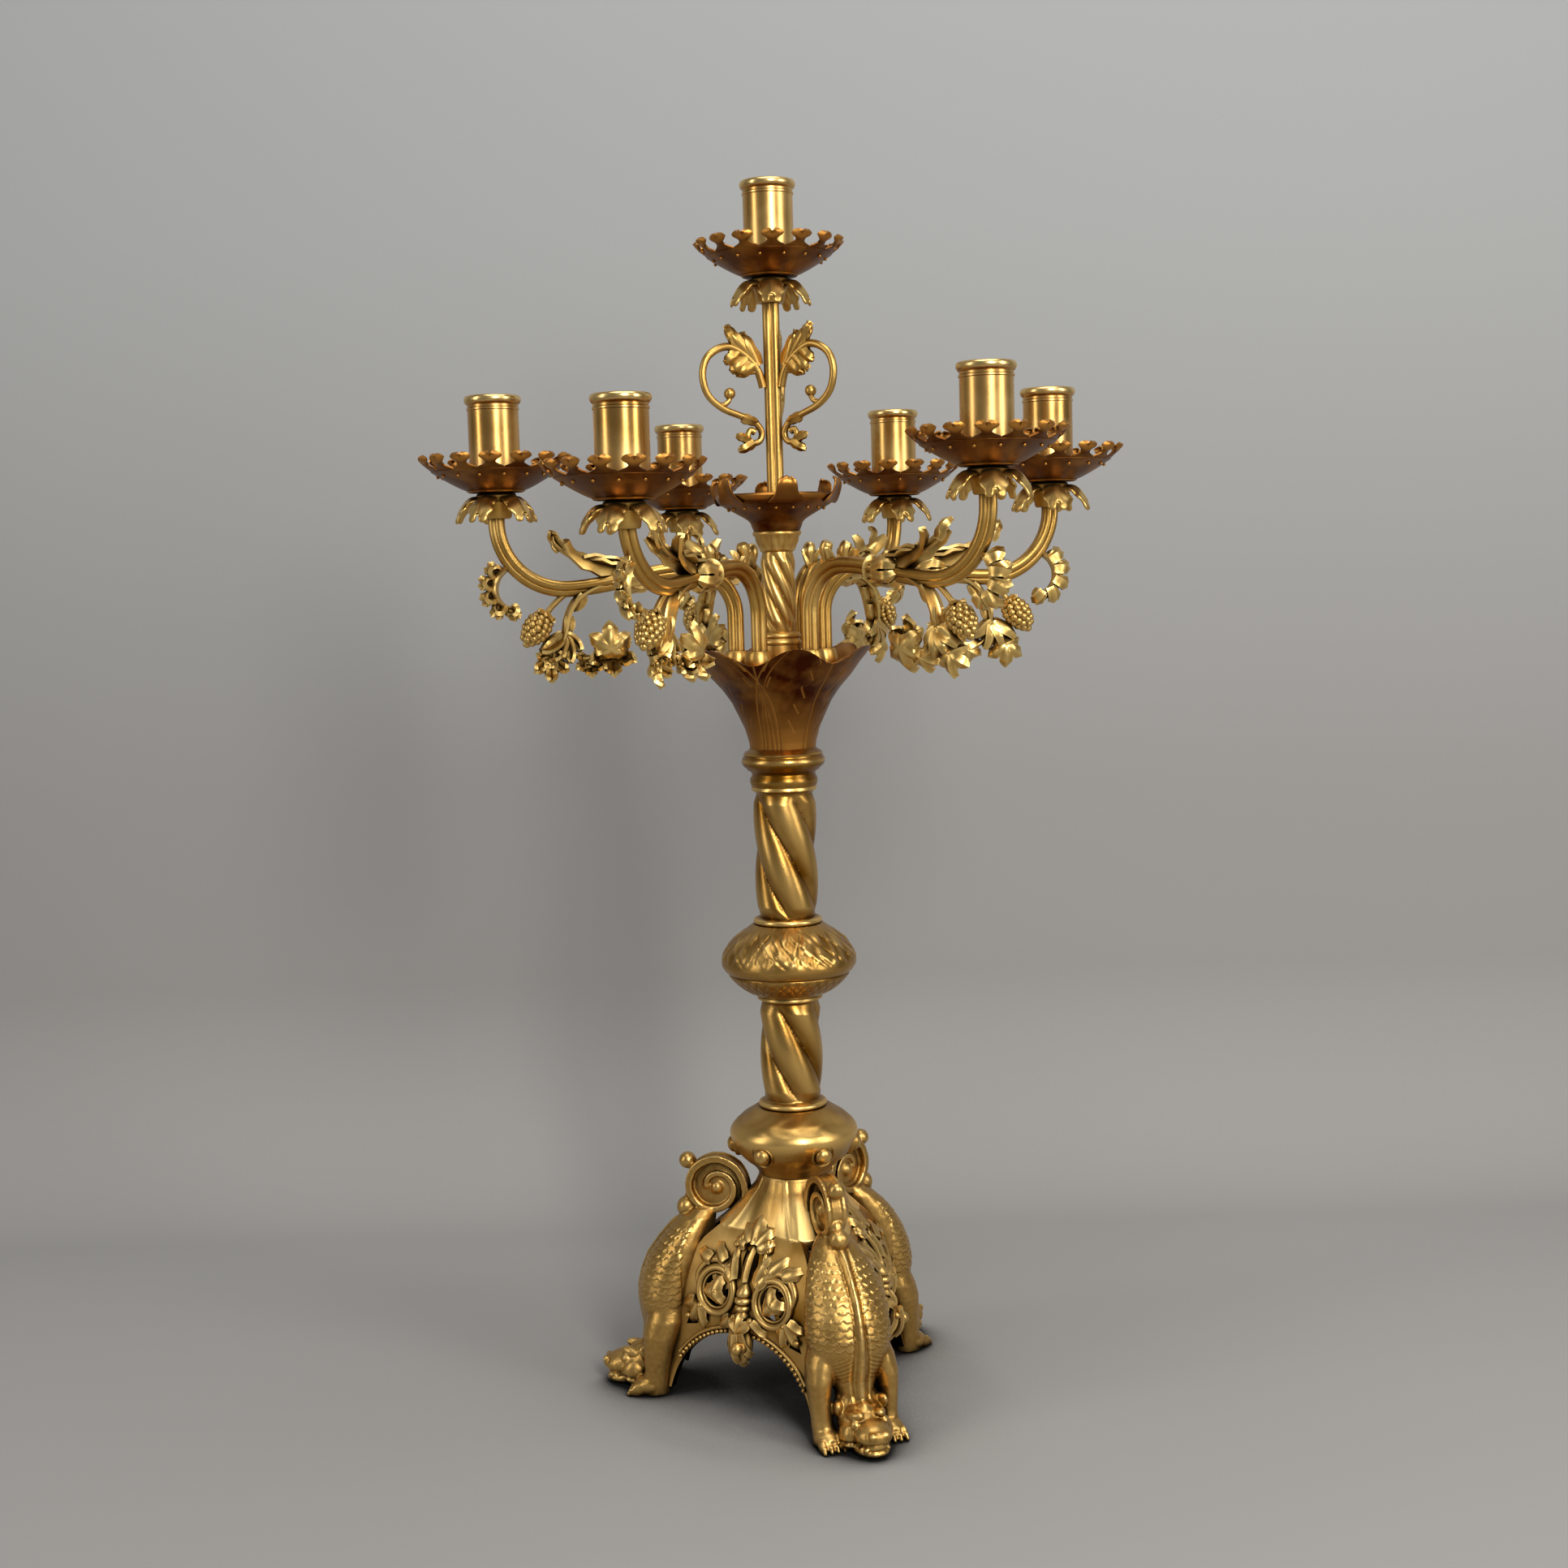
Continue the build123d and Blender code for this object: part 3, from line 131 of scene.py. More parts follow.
def gilt_metal(name, bright, body, grime_and_shade, rough, grain_mm, grain_depth_mm, recess_mm, cloud_mm=28,
               inner_shade_mm=0):
    """Gilt metal: bright where worn, darker in the recesses for grime and painted shade; near-black painted
    shade on faces that look at the column's axis from nearer than the given distance in millimetres, which
    are the inside of a casting."""
    material, tree = new_material(name)
    place = add(tree, "ShaderNodeTexCoord").outputs["Object"]
    cloud = add(tree, "ShaderNodeTexNoise", {"Scale": 1 / (cloud_mm * MM), "Detail": 3.0}, {"Vector": place})
    drift = add(tree, "ShaderNodeMapRange", {1: 0.35, 2: 0.7, 3: 0.0, 4: 0.55},
                {"Value": cloud.outputs["Fac"]})
    worn = add(tree, "ShaderNodeAttribute", {"attribute_name": "wear"})
    lift = add(tree, "ShaderNodeMath", {"operation": "MAXIMUM"},
               {0: drift.outputs[0], 1: worn.outputs["Fac"]})
    base = add(tree, "ShaderNodeMix", {"data_type": "RGBA", 6: colour(body), 7: colour(bright)},
               {0: lift.outputs[0]})
    # Grime and painted shade: recesses that Ambient Occlusion finds are darkened towards the recess colour
    hollow = add(tree, "ShaderNodeAmbientOcclusion", {"samples": 6, "Distance": recess_mm * MM})
    depth = add(tree, "ShaderNodeMapRange", {1: 0.25, 2: 0.85, 3: 1.0, 4: 0.0},
                {"Value": hollow.outputs["AO"]})
    stained_and_shaded = add(tree, "ShaderNodeMix", {"data_type": "RGBA", 7: colour(grime_and_shade)},
                  {0: depth.outputs[0], 6: base.outputs[2]})
    # Painted shade: faces inside the base that look towards the axis are painted near-black
    if inner_shade_mm:
        level = add(tree, "ShaderNodeVectorMath", {"operation": "MULTIPLY", 1: (1.0, 1.0, 0.0)}, {0: place})
        reach = add(tree, "ShaderNodeVectorMath", {"operation": "LENGTH"}, {0: level.outputs[0]})
        facing = add(tree, "ShaderNodeNewGeometry").outputs["Normal"]
        inward = add(tree, "ShaderNodeVectorMath", {"operation": "DOT_PRODUCT"},
                     {0: level.outputs[0], 1: facing})
        behind = add(tree, "ShaderNodeMath", {"operation": "LESS_THAN", 1: 0.0}, {0: inward.outputs["Value"]})
        near = add(tree, "ShaderNodeMath", {"operation": "LESS_THAN", 1: inner_shade_mm * MM},
                   {0: reach.outputs["Value"]})
        inside = add(tree, "ShaderNodeMath", {"operation": "MULTIPLY"},
                     {0: behind.outputs[0], 1: near.outputs[0]})
        stained_and_shaded = add(tree, "ShaderNodeMix", {"data_type": "RGBA", 7: colour(INSIDE_SHADE_COLOUR)},
                      {0: inside.outputs[0], 6: stained_and_shaded.outputs[2]})
    grain = add(tree, "ShaderNodeTexNoise", {"Scale": 1 / (grain_mm * MM), "Detail": 2.0}, {"Vector": place})
    skin = add(tree, "ShaderNodeBump", {"Strength": 1.0, "Distance": grain_depth_mm * MM},
               {"Height": grain.outputs["Fac"]})
    matt = add(tree, "ShaderNodeMapRange", {1: 0.3, 2: 0.7, 3: rough - 0.05, 4: rough + 0.07},
               {"Value": cloud.outputs["Fac"]})
    dull = add(tree, "ShaderNodeMath", {"operation": "MULTIPLY_ADD", 1: 0.25},
               {0: depth.outputs[0], 2: matt.outputs[0]})
    metal = add(tree, "ShaderNodeBsdfPrincipled", {"Metallic": 1.0},
                {"Base Color": stained_and_shaded.outputs[2], "Roughness": dull.outputs[0], "Normal": skin.outputs[0]})
    add(tree, "ShaderNodeOutputMaterial", links={"Surface": metal.outputs[0]})
    return material


# %% The finishes of this candelabrum
# Candle cups: brass turned on a lathe and polished, so the yellow is strong and the reflections are sharp.
polished_brass = gilt_metal("polished turned brass", "#f3d28c", "#c4924a", "#54310c", 0.27, 6.0, 0.02, 5)
# Arms and leaves: pale gilding on fine castings, with brown grime and painted shade between the leaves.
pale_gilt = gilt_metal("pale gilding on fine castings", "#f3cf80", "#a97a2c", "#321a05", 0.34, 0.9, 0.05, 6)
# Column shafts and knops: deeper, browner gold on thick castings.
column_gilt = gilt_metal("brown gold on column castings", "#f2c878", "#83550f", "#1f0f03", 0.31, 1.2, 0.05, 7)
# The base: warm matt gold, a little rougher, because the castings are large and were hardly polished.
base_gilt = gilt_metal("matt gold on base castings", "#fbd384", "#956720", "#1a0c03", 0.34, 0.8, 0.08, 9)
# The pierced plates: the same gold in front, and near-black painted shade on the inside.
plate_gilt = gilt_metal("matt gold on pierced plates", "#fbd384", "#956720", "#1a0c03", 0.34, 0.8, 0.08, 9,
                        inner_shade_mm=80)
# Pans, dish and calyx: spun brass under a dark red-brown lacquer that is worn to gold on the edges.
dark_brass = gilt_metal("dark patinated brass", "#c98c40", "#481b05", "#120400", 0.37, 1.5, 0.03, 7, 18)
# The tie rod and its nut: plain steel, slightly oxidised.
steel = gilt_metal("plain steel", "#c9c7c2", "#8f8c86", "#3b3732", 0.35, 0.8, 0.03, 5)
print("finishes:", len(bpy.data.materials))


# %% [markdown]
# ## Finishing a piece
#
# Every piece ends the same way: it gets its finish, it rides on the CAD body that carries it, and where it
# stands for a CAD node that node is hidden. Smooth shading by angle keeps turned edges crisp.

# %% Finishing helpers
def select_only(*pieces):
    """Select these pieces and nothing else, the first one active."""
    bpy.ops.object.select_all(action="DESELECT")
    for piece in pieces:
        piece.select_set(True)
    bpy.context.view_layer.objects.active = pieces[0]


def finish(piece, material, body="stand", stands_for=(), angle=40):
    """Give a piece its finish and its place in the frame."""
    select_only(piece)
    bpy.ops.object.transform_apply(location=True, rotation=True, scale=True)
    bpy.ops.object.shade_smooth_by_angle(angle=math.radians(angle))
    piece.data.materials.clear()
    piece.data.materials.append(material)
    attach(piece, body)
    if stands_for:
        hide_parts(*stands_for)
    return piece


def copy_piece(piece, name, matrix):
    """A copy with its own mesh, moved by a matrix."""
    twin = piece.copy()
    twin.data = piece.data.copy()
    twin.name = name
    twin.data.transform(matrix)
    bpy.context.scene.collection.objects.link(twin)
    return twin


def joined(name, pieces):
    """Several meshes as one piece."""
    select_only(*pieces)
    bpy.ops.object.join()
    pieces[0].name = name
    return pieces[0]


def compass(angle):
    """The turn about the column that takes +X to a compass angle: 0 is the front, +X is at 90."""
    return Matrix.Rotation(math.radians(angle - 90), 4, "Z")


def shift(x, y, z):
    """A move in millimetres."""
    return Matrix.Translation((x * MM, y * MM, z * MM))


def set_wear(piece, rule):
    """Store how bright each point is rubbed, 0 to 1, from its place in millimetres."""
    layer = piece.data.attributes.new("wear", "FLOAT", "POINT")
    for vertex, item in zip(piece.data.vertices, layer.data):
        item.value = max(0.0, min(1.0, rule(vertex.co / MM)))


def rub_by_shape(piece, base, gain):
    """Wear from the shape: a point that stands out over its neighbours is rubbed bright."""
    layer = piece.data.attributes.get("wear") or piece.data.attributes.new("wear", "FLOAT", "POINT")
    shape = bmesh.new()
    shape.from_mesh(piece.data)
    shape.normal_update()
    for vertex, item in zip(shape.verts, layer.data):
        ring = [edge.other_vert(vertex).co for edge in vertex.link_edges]
        middle = sum(ring, Vector()) / len(ring)
        item.value = max(0.0, min(1.0, base + gain * (vertex.co - middle).dot(vertex.normal) / MM))
    shape.free()


# %% [markdown]
# ## Turned work
#
# Cups, rings, knops and dishes are turned or spun. In Blender a lathe can be imitated by drawing a filled
# circle and extruding it up the profile, scaling it at each step: the face travels along, and its trail is
# the turned wall. Smooth stretches of a profile come from a curve through a few measured points.

# %% Lathe helpers
def smooth_line(points, steps):
    """A smooth run through (radius, height) points, with steps between neighbours."""
    run = []
    last = len(points) - 1
    for index in range(last):
        before = points[max(index - 1, 0)]
        start, end = points[index], points[index + 1]
        after = points[min(index + 2, last)]
        for step in range(steps):
            t = step / steps
            run.append(tuple(
                0.5 * (2 * b + (c - a) * t + (2 * a - 5 * b + 4 * c - d) * t * t
                       + (3 * b - a - 3 * c + d) * t ** 3)
                for a, b, c, d in zip(before, start, end, after)
            ))
    run.append(tuple(points[-1]))
    return run


def turn_on_lathe(name, profile, segments=96):
    """Extrude a filled circle up a (radius, height) profile."""
    bpy.ops.object.select_all(action="DESELECT")
    radius, level = profile[0]
    bpy.ops.mesh.primitive_circle_add(vertices=segments, radius=radius * MM, fill_type="NGON",
                                      location=(0, 0, level * MM))
    piece = bpy.context.object
    piece.name = name
    bpy.ops.object.transform_apply(location=True, rotation=False, scale=False)
    bpy.ops.object.mode_set(mode="EDIT")
    for next_radius, next_level in profile[1:]:
        centre = (0, 0, next_level * MM)
        bpy.ops.mesh.extrude_region_move(
            TRANSFORM_OT_translate={"value": (0, 0, (next_level - level) * MM)})
        scale = next_radius / radius
        bpy.ops.transform.resize(value=(scale, scale, 1), center_override=centre)
        radius, level = next_radius, next_level
    bpy.ops.mesh.select_all(action="DESELECT")
    bpy.ops.mesh.select_non_manifold()
    bpy.ops.mesh.fill_holes(sides=0)
    bpy.ops.mesh.select_all(action="SELECT")
    bpy.ops.mesh.normals_make_consistent(inside=False)
    bpy.ops.object.mode_set(mode="OBJECT")
    return piece


def angle_of(x, y):
    """The compass angle of a place."""
    return math.degrees(math.atan2(y, x)) + 90


def emboss(piece, relief):
    """Push points in or out by relief(compass angle, radius, height), all in degrees and millimetres."""
    for vertex in piece.data.vertices:
        x, y, z = vertex.co / MM
        radius = math.hypot(x, y)
        if radius > 1:
            factor = 1 + relief(angle_of(x, y), radius, z) / radius
            vertex.co.x *= factor
            vertex.co.y *= factor
    piece.data.update()


def ridge(value, centre, half_width):
    """A rounded ridge: 1 at its centre, 0 at its half width and beyond."""
    share = abs(value - centre) / half_width
    return 0.0 if share >= 1 else 0.5 + 0.5 * math.cos(math.pi * share)


def angle_from(angle, centre):
    """The signed difference of two compass angles, from -180 to 180."""
    return (angle - centre + 180) % 360 - 180


# %% [markdown]
# ## Candle cups
#
# Each cup is a short tube with a rolled lip over a fine turned line, screwed down on its pan. The lathe draws
# the outside up to the lip, over it, and down the bore to the floor that the candle stands on. One cup is
# turned as a pattern, and seven copies of it go to the lights.

# %% Places of the seven lights
ARM_ANGLES = [-80.0, -29.0, 44.0, 95.0, 151.5, -157.5]
RIM_HEIGHTS = [583.0, 573.0, 586.0, 582.0, 581.0, 576.0]
ARM_REACH = 157.8
TOP_RIM = 700.0

lights = [("centre", "cup_centre", "centre_", "", shift(0, 0, TOP_RIM))]
for number, (angle, rim) in enumerate(zip(ARM_ANGLES, RIM_HEIGHTS), 1):
    lights.append((str(number), f"cup_{number}", "", f"_{number}", compass(angle) @ shift(ARM_REACH, 0, rim)))

# %% Candle cups
cup_profile = [
    (3.0, -51.0), (13.4, -51.0), (14.2, -50.4), (14.2, -49.0), (14.0, -48.4), (14.1, -30.0), (14.1, -8.2),
    (14.6, -7.8), (14.6, -6.9), (14.1, -6.4), (14.1, -5.2), (14.8, -4.6), (15.5, -3.7), (15.85, -2.5),
    (15.7, -1.3), (15.1, -0.4), (14.2, 0.0), (13.3, -0.3), (12.7, -1.1), (12.4, -2.5), (12.2, -20.0),
    (12.0, -37.0), (11.0, -38.0), (2.0, -38.0),
]
first_cup = turn_on_lathe("cup_pattern", cup_profile, 96)
set_wear(first_cup, lambda p: 0.9 * ridge(p.z, -2.0, 3.5) + 0.5 * ridge(p.z, -7.4, 1.2))
for label, body, before, after, place in lights:
    cup = copy_piece(first_cup, f"turned_cup_{label}", place)
    finish(cup, polished_brass, body, [f"{before}candle_cup{after}"])
bpy.data.objects.remove(first_cup)
print("cups:", len(lights))


# %% [markdown]
# ## Drip pans
#
# A pan is a shallow spun dish whose edge was sawn and chased into fifteen leaves with forked, curled tips.
# The dish is turned. One leaf starts as a flat grid: its rows are set to the widths of the sawn outline and
# bent up and over by a rule, because no operator bends a sheet two ways at once. Solidify gives it the
# thickness of the metal, and fifteen copies make the crown. A row of punched beads runs below them.

# %% One leaf of the pan's crown
PAN_TEETH = 15
LEAF_FOOT = 34.8
LEAF_LENGTH = 0.75
FORK_ROW = 6
HORN_DEPTH = 1.5
# Distance from the axis, share of the leaf's room that it fills, rise of the middle and of the edges
LEAF_ROWS = [
    (34.8, 1.04, -40.9, -40.9), (35.8, 0.90, -40.2, -40.1), (36.8, 0.58, -39.6, -39.3),
    (38.0, 0.36, -38.9, -38.4), (39.2, 0.32, -38.2, -37.4), (40.2, 0.40, -37.6, -36.5),
    (41.2, 0.62, -37.0, -35.6), (42.1, 0.74, -36.4, -34.6), (42.9, 0.66, -35.6, -33.6),
    (43.5, 0.46, -34.6, -32.8), (43.7, 0.14, -33.8, -32.6),
]


def grid_piece(name, rows, columns):
    """A flat grid of rows by columns faces, ready to be shaped; returns its points by row and column."""
    bpy.ops.object.select_all(action="DESELECT")
    bpy.ops.mesh.primitive_grid_add(x_subdivisions=columns, y_subdivisions=rows, size=2)
    piece = bpy.context.object
    piece.name = name
    table = {}
    for vertex in piece.data.vertices:
        row = round((vertex.co.y + 1) / 2 * rows)
        column = round((vertex.co.x + 1) / 2 * columns)
        table[row, column] = vertex
    return piece, table


def apply_modifier(piece, kind, **settings):
    """Add a modifier with its settings and apply it."""
    select_only(piece)
    modifier = piece.modifiers.new(kind.lower(), kind)
    for key, value in settings.items():
        setattr(modifier, key, value)
    bpy.ops.object.modifier_apply(modifier=modifier.name)


pan_leaf, leaf_points = grid_piece("pan_leaf", len(LEAF_ROWS) - 1, 8)
for (row, column), vertex in leaf_points.items():
    reach, share, middle, edge = LEAF_ROWS[row]
    across = column / 4 - 1
    # the tip is forked: its middle stays back while two horns run on
    fork = HORN_DEPTH * math.cos(2 * math.pi * across) * (row - FORK_ROW) / 4 if row > FORK_ROW else 0.0
    # the whole leaf is shortened, so that its horns stay inside the pan's own size
    out = LEAF_FOOT + (reach - fork - LEAF_FOOT) * LEAF_LENGTH
    turn = math.radians(across * share * 180 / PAN_TEETH)
    height = middle + (edge - middle) * abs(across) ** 1.6
    vertex.co = Vector((out * math.cos(turn), out * math.sin(turn), height)) * MM
apply_modifier(pan_leaf, "SOLIDIFY", thickness=1.0 * MM, offset=0.0)

# %% Dish, beads and the seven copies
dish_outside = smooth_line(
    [(15.5, -52.3), (19.0, -50.9), (23.5, -48.6), (30.4, -44.6), (35.4, -41.4)], 4)
dish_inside = [(radius - 0.5, height + 1.3) for radius, height in reversed(dish_outside)]
under_ring = [(3.2, -53.2), (14.6, -53.2), (15.6, -52.9), (16.2, -52.2), (15.9, -51.9)]
pan_profile = under_ring + dish_outside[1:] + dish_inside + [(3.2, -51.1)]
pan = turn_on_lathe("pan_pattern", pan_profile, 120)
set_wear(pan, lambda p: 0.75 * ridge(math.hypot(p.x, p.y), 15.6, 1.6) if p.z < -51.4 else 0.15)


def punched_row(count, reach, height, shine):
    """A ring of small beads at a distance from the axis, each half way between two leaves or marks."""
    row = []
    for index in range(count):
        turn = 2 * math.pi * (index + 0.5) / count
        bpy.ops.object.select_all(action="DESELECT")
        bpy.ops.mesh.primitive_uv_sphere_add(segments=10, ring_count=6, radius=1.0 * MM)
        bead = bpy.context.object
        bead.data.transform(shift(reach * math.cos(turn), reach * math.sin(turn), height))
        set_wear(bead, lambda p: shine)
        row.append(bead)
    return row


crown = []
for tooth in range(PAN_TEETH):
    crown.append(copy_piece(pan_leaf, "crown_leaf", Matrix.Rotation(2 * math.pi * tooth / PAN_TEETH, 4, "Z")))
beads = punched_row(PAN_TEETH, 31.6, -44.2, 0.95)
for leaf in crown:
    set_wear(leaf, lambda p: 0.1 + 0.8 * ridge(math.hypot(p.x, p.y), 41.6, 4.0))
pan = joined("pan_pattern", [pan] + crown + beads)
for label, body, before, after, place in lights:
    spin = Matrix.Rotation(math.radians(7 * len(label) + 5 * ord(label[0])), 4, "Z")
    twin = copy_piece(pan, f"toothed_pan_{label}", place @ spin)
    finish(twin, dark_brass, "stand", [f"{before}drip_pan{after}"], 35)
bpy.data.objects.remove(pan)
bpy.data.objects.remove(pan_leaf)
print("pans:", len(lights))

# %% [markdown]
# ## Leaf collars
#
# Under each pan a cast collar spreads five acanthus leaves that arch out and droop, their edges cut into
# rounded lobes. One leaf is a shaped grid again. Its width follows a row of numbers with a notch between two
# lobes, its middle is raised to a rib, and the lobes curl down. The neck above them is turned.

# %% One acanthus leaf of a collar
# Distance from the axis, height under the rim, half width
COLLAR_ROWS = [
    (5.5, -58.4, 3.6), (8.5, -57.4, 4.6), (11.5, -57.0, 6.0), (13.6, -57.5, 7.4), (15.0, -58.5, 5.2),
    (16.6, -59.8, 7.3), (18.0, -61.4, 7.2), (19.2, -63.2, 4.6), (20.2, -65.0, 5.6), (20.9, -66.4, 4.6),
    (21.5, -66.8, 2.8), (21.9, -66.2, 1.0),
]
collar_leaf, leaf_points = grid_piece("collar_leaf", len(COLLAR_ROWS) - 1, 10)
for (row, column), vertex in leaf_points.items():
    reach, height, half = COLLAR_ROWS[row]
    across = column / 5 - 1
    rib = 1.0 * math.exp(-(across / 0.22) ** 2)
    curl = 3.4 * abs(across) ** 2.2 * min(1.0, row / 4)
    vein = 0.35 * math.cos(across * 9 + row * 1.4)
    vertex.co = Vector((reach + rib * 0.4, across * half, height + rib + vein - curl)) * MM
apply_modifier(collar_leaf, "SOLIDIFY", thickness=1.7 * MM, offset=-1.0)
apply_modifier(collar_leaf, "SUBSURF", levels=1, render_levels=1)
set_wear(collar_leaf, lambda p: 0.25 + 0.5 * ridge(p.x, 20, 5))

# %% Neck and five leaves
neck_profile = [
    (3.2, -53.2), (8.8, -53.2), (10.6, -53.8), (11.2, -55.0), (10.6, -56.2), (9.2, -57.0), (9.0, -57.8),
    (9.8, -58.6), (9.4, -60.5), (8.6, -63.0), (8.2, -66.5), (7.4, -67.6), (3.2, -67.6),
]
collar = turn_on_lathe("collar_pattern", list(reversed(neck_profile)), 48)
set_wear(collar, lambda p: 0.6 * ridge(p.z, -55, 1.5))
leaves = [copy_piece(collar_leaf, "collar_leaf", Matrix.Rotation(2 * math.pi * turn / 5, 4, "Z"))
          for turn in range(5)]
collar = joined("collar_pattern", [collar] + leaves)
for label, body, before, after, place in lights:
    spin = Matrix.Rotation(math.radians(23 * ord(label[0]) + 11), 4, "Z")
    twin = copy_piece(collar, f"acanthus_collar_{label}", place @ spin)
    finish(twin, pale_gilt, "stand", [f"{before}leaf_collar{after}"], 50)
bpy.data.objects.remove(collar)
bpy.data.objects.remove(collar_leaf)


# %% [markdown]
# ## The column: rings and twisted shafts
#
# A twisted shaft starts on the lathe as a plain round bar in fine steps. A rule then pushes its points in and
# out until each level is a section of four round lobes, and turns that section a little more with the height,
# which is the twist. Between two lobes lies a thin beaded cord, as the goldsmiths liked it, and the lobes die
# into a flat ring at each end.

# %% Twisted shafts
def lobe_relief(phase, lobes, pitch, start, low, high, ridge_radius, flute_radius, cord):
    """The relief of a twisted shaft between two heights."""
    def relief(angle, radius, height):
        if not low <= height <= high or radius < flute_radius - 2:
            return 0.0
        fade = min(1.0, (height - low) / 6, (high - height) / 6)
        turned_angle = angle - phase + 360 * (height - start) / pitch
        share = (turned_angle * lobes / 360) % 1.0
        round_part = math.sin(math.pi * share) ** 0.55
        section = flute_radius + (ridge_radius - flute_radius) * round_part
        near_groove = min(share, 1 - share) * 360 / lobes * math.pi / 180 * flute_radius
        if near_groove < cord:
            bead = 0.6 + 0.4 * math.sin(height * 2 * math.pi / 1.6)
            section = max(section, flute_radius + cord * bead * math.cos(near_groove / cord * math.pi / 2))
        mean = (ridge_radius + flute_radius) / 2
        return (section - mean) * fade + (mean - radius)
    return relief


def twisted_shaft(name, base, height, phase):
    """A four-lobed shaft with its end rings, standing on the base height."""
    low, high = base + 4.2, base + height - 3.4
    rings = 84
    profile = [(4.5, base), (18.6, base), (19.6, base + 0.6), (20.0, base + 1.8), (19.5, base + 3.0),
               (18.0, base + 3.6)]
    profile += [(16.8, low + (high - low) * step / rings) for step in range(rings + 1)]
    profile += [(17.6, high + 0.6), (18.9, high + 1.4), (18.9, high + 2.6), (18.4, base + height),
                (4.5, base + height)]
    shaft = turn_on_lathe(name, profile, 192)
    emboss(shaft, lobe_relief(phase, 4, 152, base, low, high, 18.2, 13.9, 0.9))
    set_wear(shaft, lambda p: 0.9 * max(0.0, (math.hypot(p.x, p.y) - 15.6) / 3.4) ** 1.6)
    return shaft


lower_shaft = twisted_shaft("twisted_lower_shaft", 171, 66, 24)
finish(lower_shaft, column_gilt, stands_for=["lower_column"], angle=50)
upper_shaft = twisted_shaft("twisted_upper_shaft", 279, 80, 14)
finish(upper_shaft, column_gilt, stands_for=["upper_column"], angle=50)

# %% Two rings under the calyx
ring_profile = [
    (4.5, 359), (18.6, 359.0), (19.2, 360.2), (19.6, 362.0), (19.4, 363.6), (18.6, 364.8), (18.2, 366.2),
    (19.0, 367.6), (20.8, 368.6), (21.4, 369.6), (22.6, 370.4), (23.8, 372.0), (24.1, 373.8), (23.6, 375.4),
    (22.9, 376.2), (22.7, 377.0), (22.9, 377.8), (22.0, 379.0), (20.4, 379.8), (19.0, 381.0), (4.5, 381.0),
]
rings = turn_on_lathe("turned_collar_rings", ring_profile, 96)
set_wear(rings,
         lambda p: 0.7 * ridge(p.z, 374, 2.0) + 0.5 * ridge(p.z, 378, 1.2) + 0.3 * ridge(p.z, 362, 1.5))
finish(rings, column_gilt, stands_for=["collar_rings"], angle=35)


# %% [markdown]
# ## The two knops
#
# The upper knop is chased all over its shoulder with curling leaves, and below its widest line a groove and
# a band of crossed strokes run round. The lower one is smooth, with a faint wreath near its top. Both are
# turned finely enough to carry this as real relief, because flat paint would not catch the light at the
# edge.

# %% Mid knop
def mid_knop_relief(angle, radius, height):
    """Leaf scrolls on the shoulder, a groove, and a crossed band underneath."""
    if radius < 19:
        return 0.0
    if height > 257:
        share = (height - 257) / 20
        wave = math.sin(math.radians(angle * 9) + 2.2 * math.sin(share * 3.4))
        leafy = math.sin(math.radians(angle * 27) + 5 * share) * math.sin(share * math.pi * 3 + wave)
        eye = math.cos(math.radians(angle * 9)) * math.cos(share * math.pi * 2)
        edge = min(1.0, share * 5, (1 - share) * 5)
        fine = math.sin(math.radians(angle * 45) + 9 * share) * math.sin(share * 19 + wave)
        return edge * (0.4 * wave * math.sin(share * math.pi * 2) + 0.5 * leafy + 0.3 * eye + 0.28 * fine)
    groove = -1.3 * ridge(height, 250.4, 1.4)
    crossed = 0.0
    if 240.5 < height < 249:
        across = math.sin(math.radians(angle * 36) + height * 0.9)
        other = math.sin(math.radians(angle * 36) - height * 0.9)
        crossed = -0.45 * max(0.0, max(across, other) - 0.55) / 0.45
    return groove + crossed


mid_outside = smooth_line(
    [(18.9, 237.0), (24.0, 239.2), (29.0, 242.6), (33.2, 246.6), (36.6, 251.0), (38.8, 254.4), (39.2, 256.6),
     (38.7, 260.0), (36.8, 264.2), (34.0, 267.8), (30.2, 271.6), (25.0, 275.6), (20.0, 279.0)], 6)
mid_knop = turn_on_lathe("chased_mid_knop", [(4.5, 237.0)] + mid_outside + [(4.5, 279.0)], 360)
emboss(mid_knop, mid_knop_relief)
set_wear(mid_knop, lambda p: 0.35 + 0.5 * mid_knop_relief(angle_of(p.x, p.y), math.hypot(p.x, p.y), p.z))
finish(mid_knop, column_gilt, stands_for=["mid_knop"], angle=60)

# %% Lower knop and its six bosses
def lower_knop_relief(angle, radius, height):
    """A faint wreath of leaves round the shoulder."""
    if height < 160 or radius < 23:
        return 0.0
    share = (height - 160) / 9.5
    leaf = math.sin(math.radians(angle * 12) + 1.6 * math.sin(share * 4))
    return 0.35 * leaf * math.sin(math.pi * min(1.0, share))


lower_outside = smooth_line(
    [(21.0, 132.0), (24.0, 136.4), (28.6, 140.2), (32.4, 144.2), (34.6, 148.0), (36.6, 152.0), (37.4, 155.7),
     (36.6, 158.8), (34.6, 161.6), (31.6, 164.6), (27.4, 167.4), (21.7, 171.0)], 6)
lower_knop = turn_on_lathe("satin_lower_knop", [(4.5, 132.0)] + lower_outside + [(4.5, 171.0)], 240)
emboss(lower_knop, lower_knop_relief)
set_wear(lower_knop, lambda p: 0.30 + 0.6 * ridge(p.z, 156, 11))
finish(lower_knop, column_gilt, stands_for=["lower_knop"], angle=60)

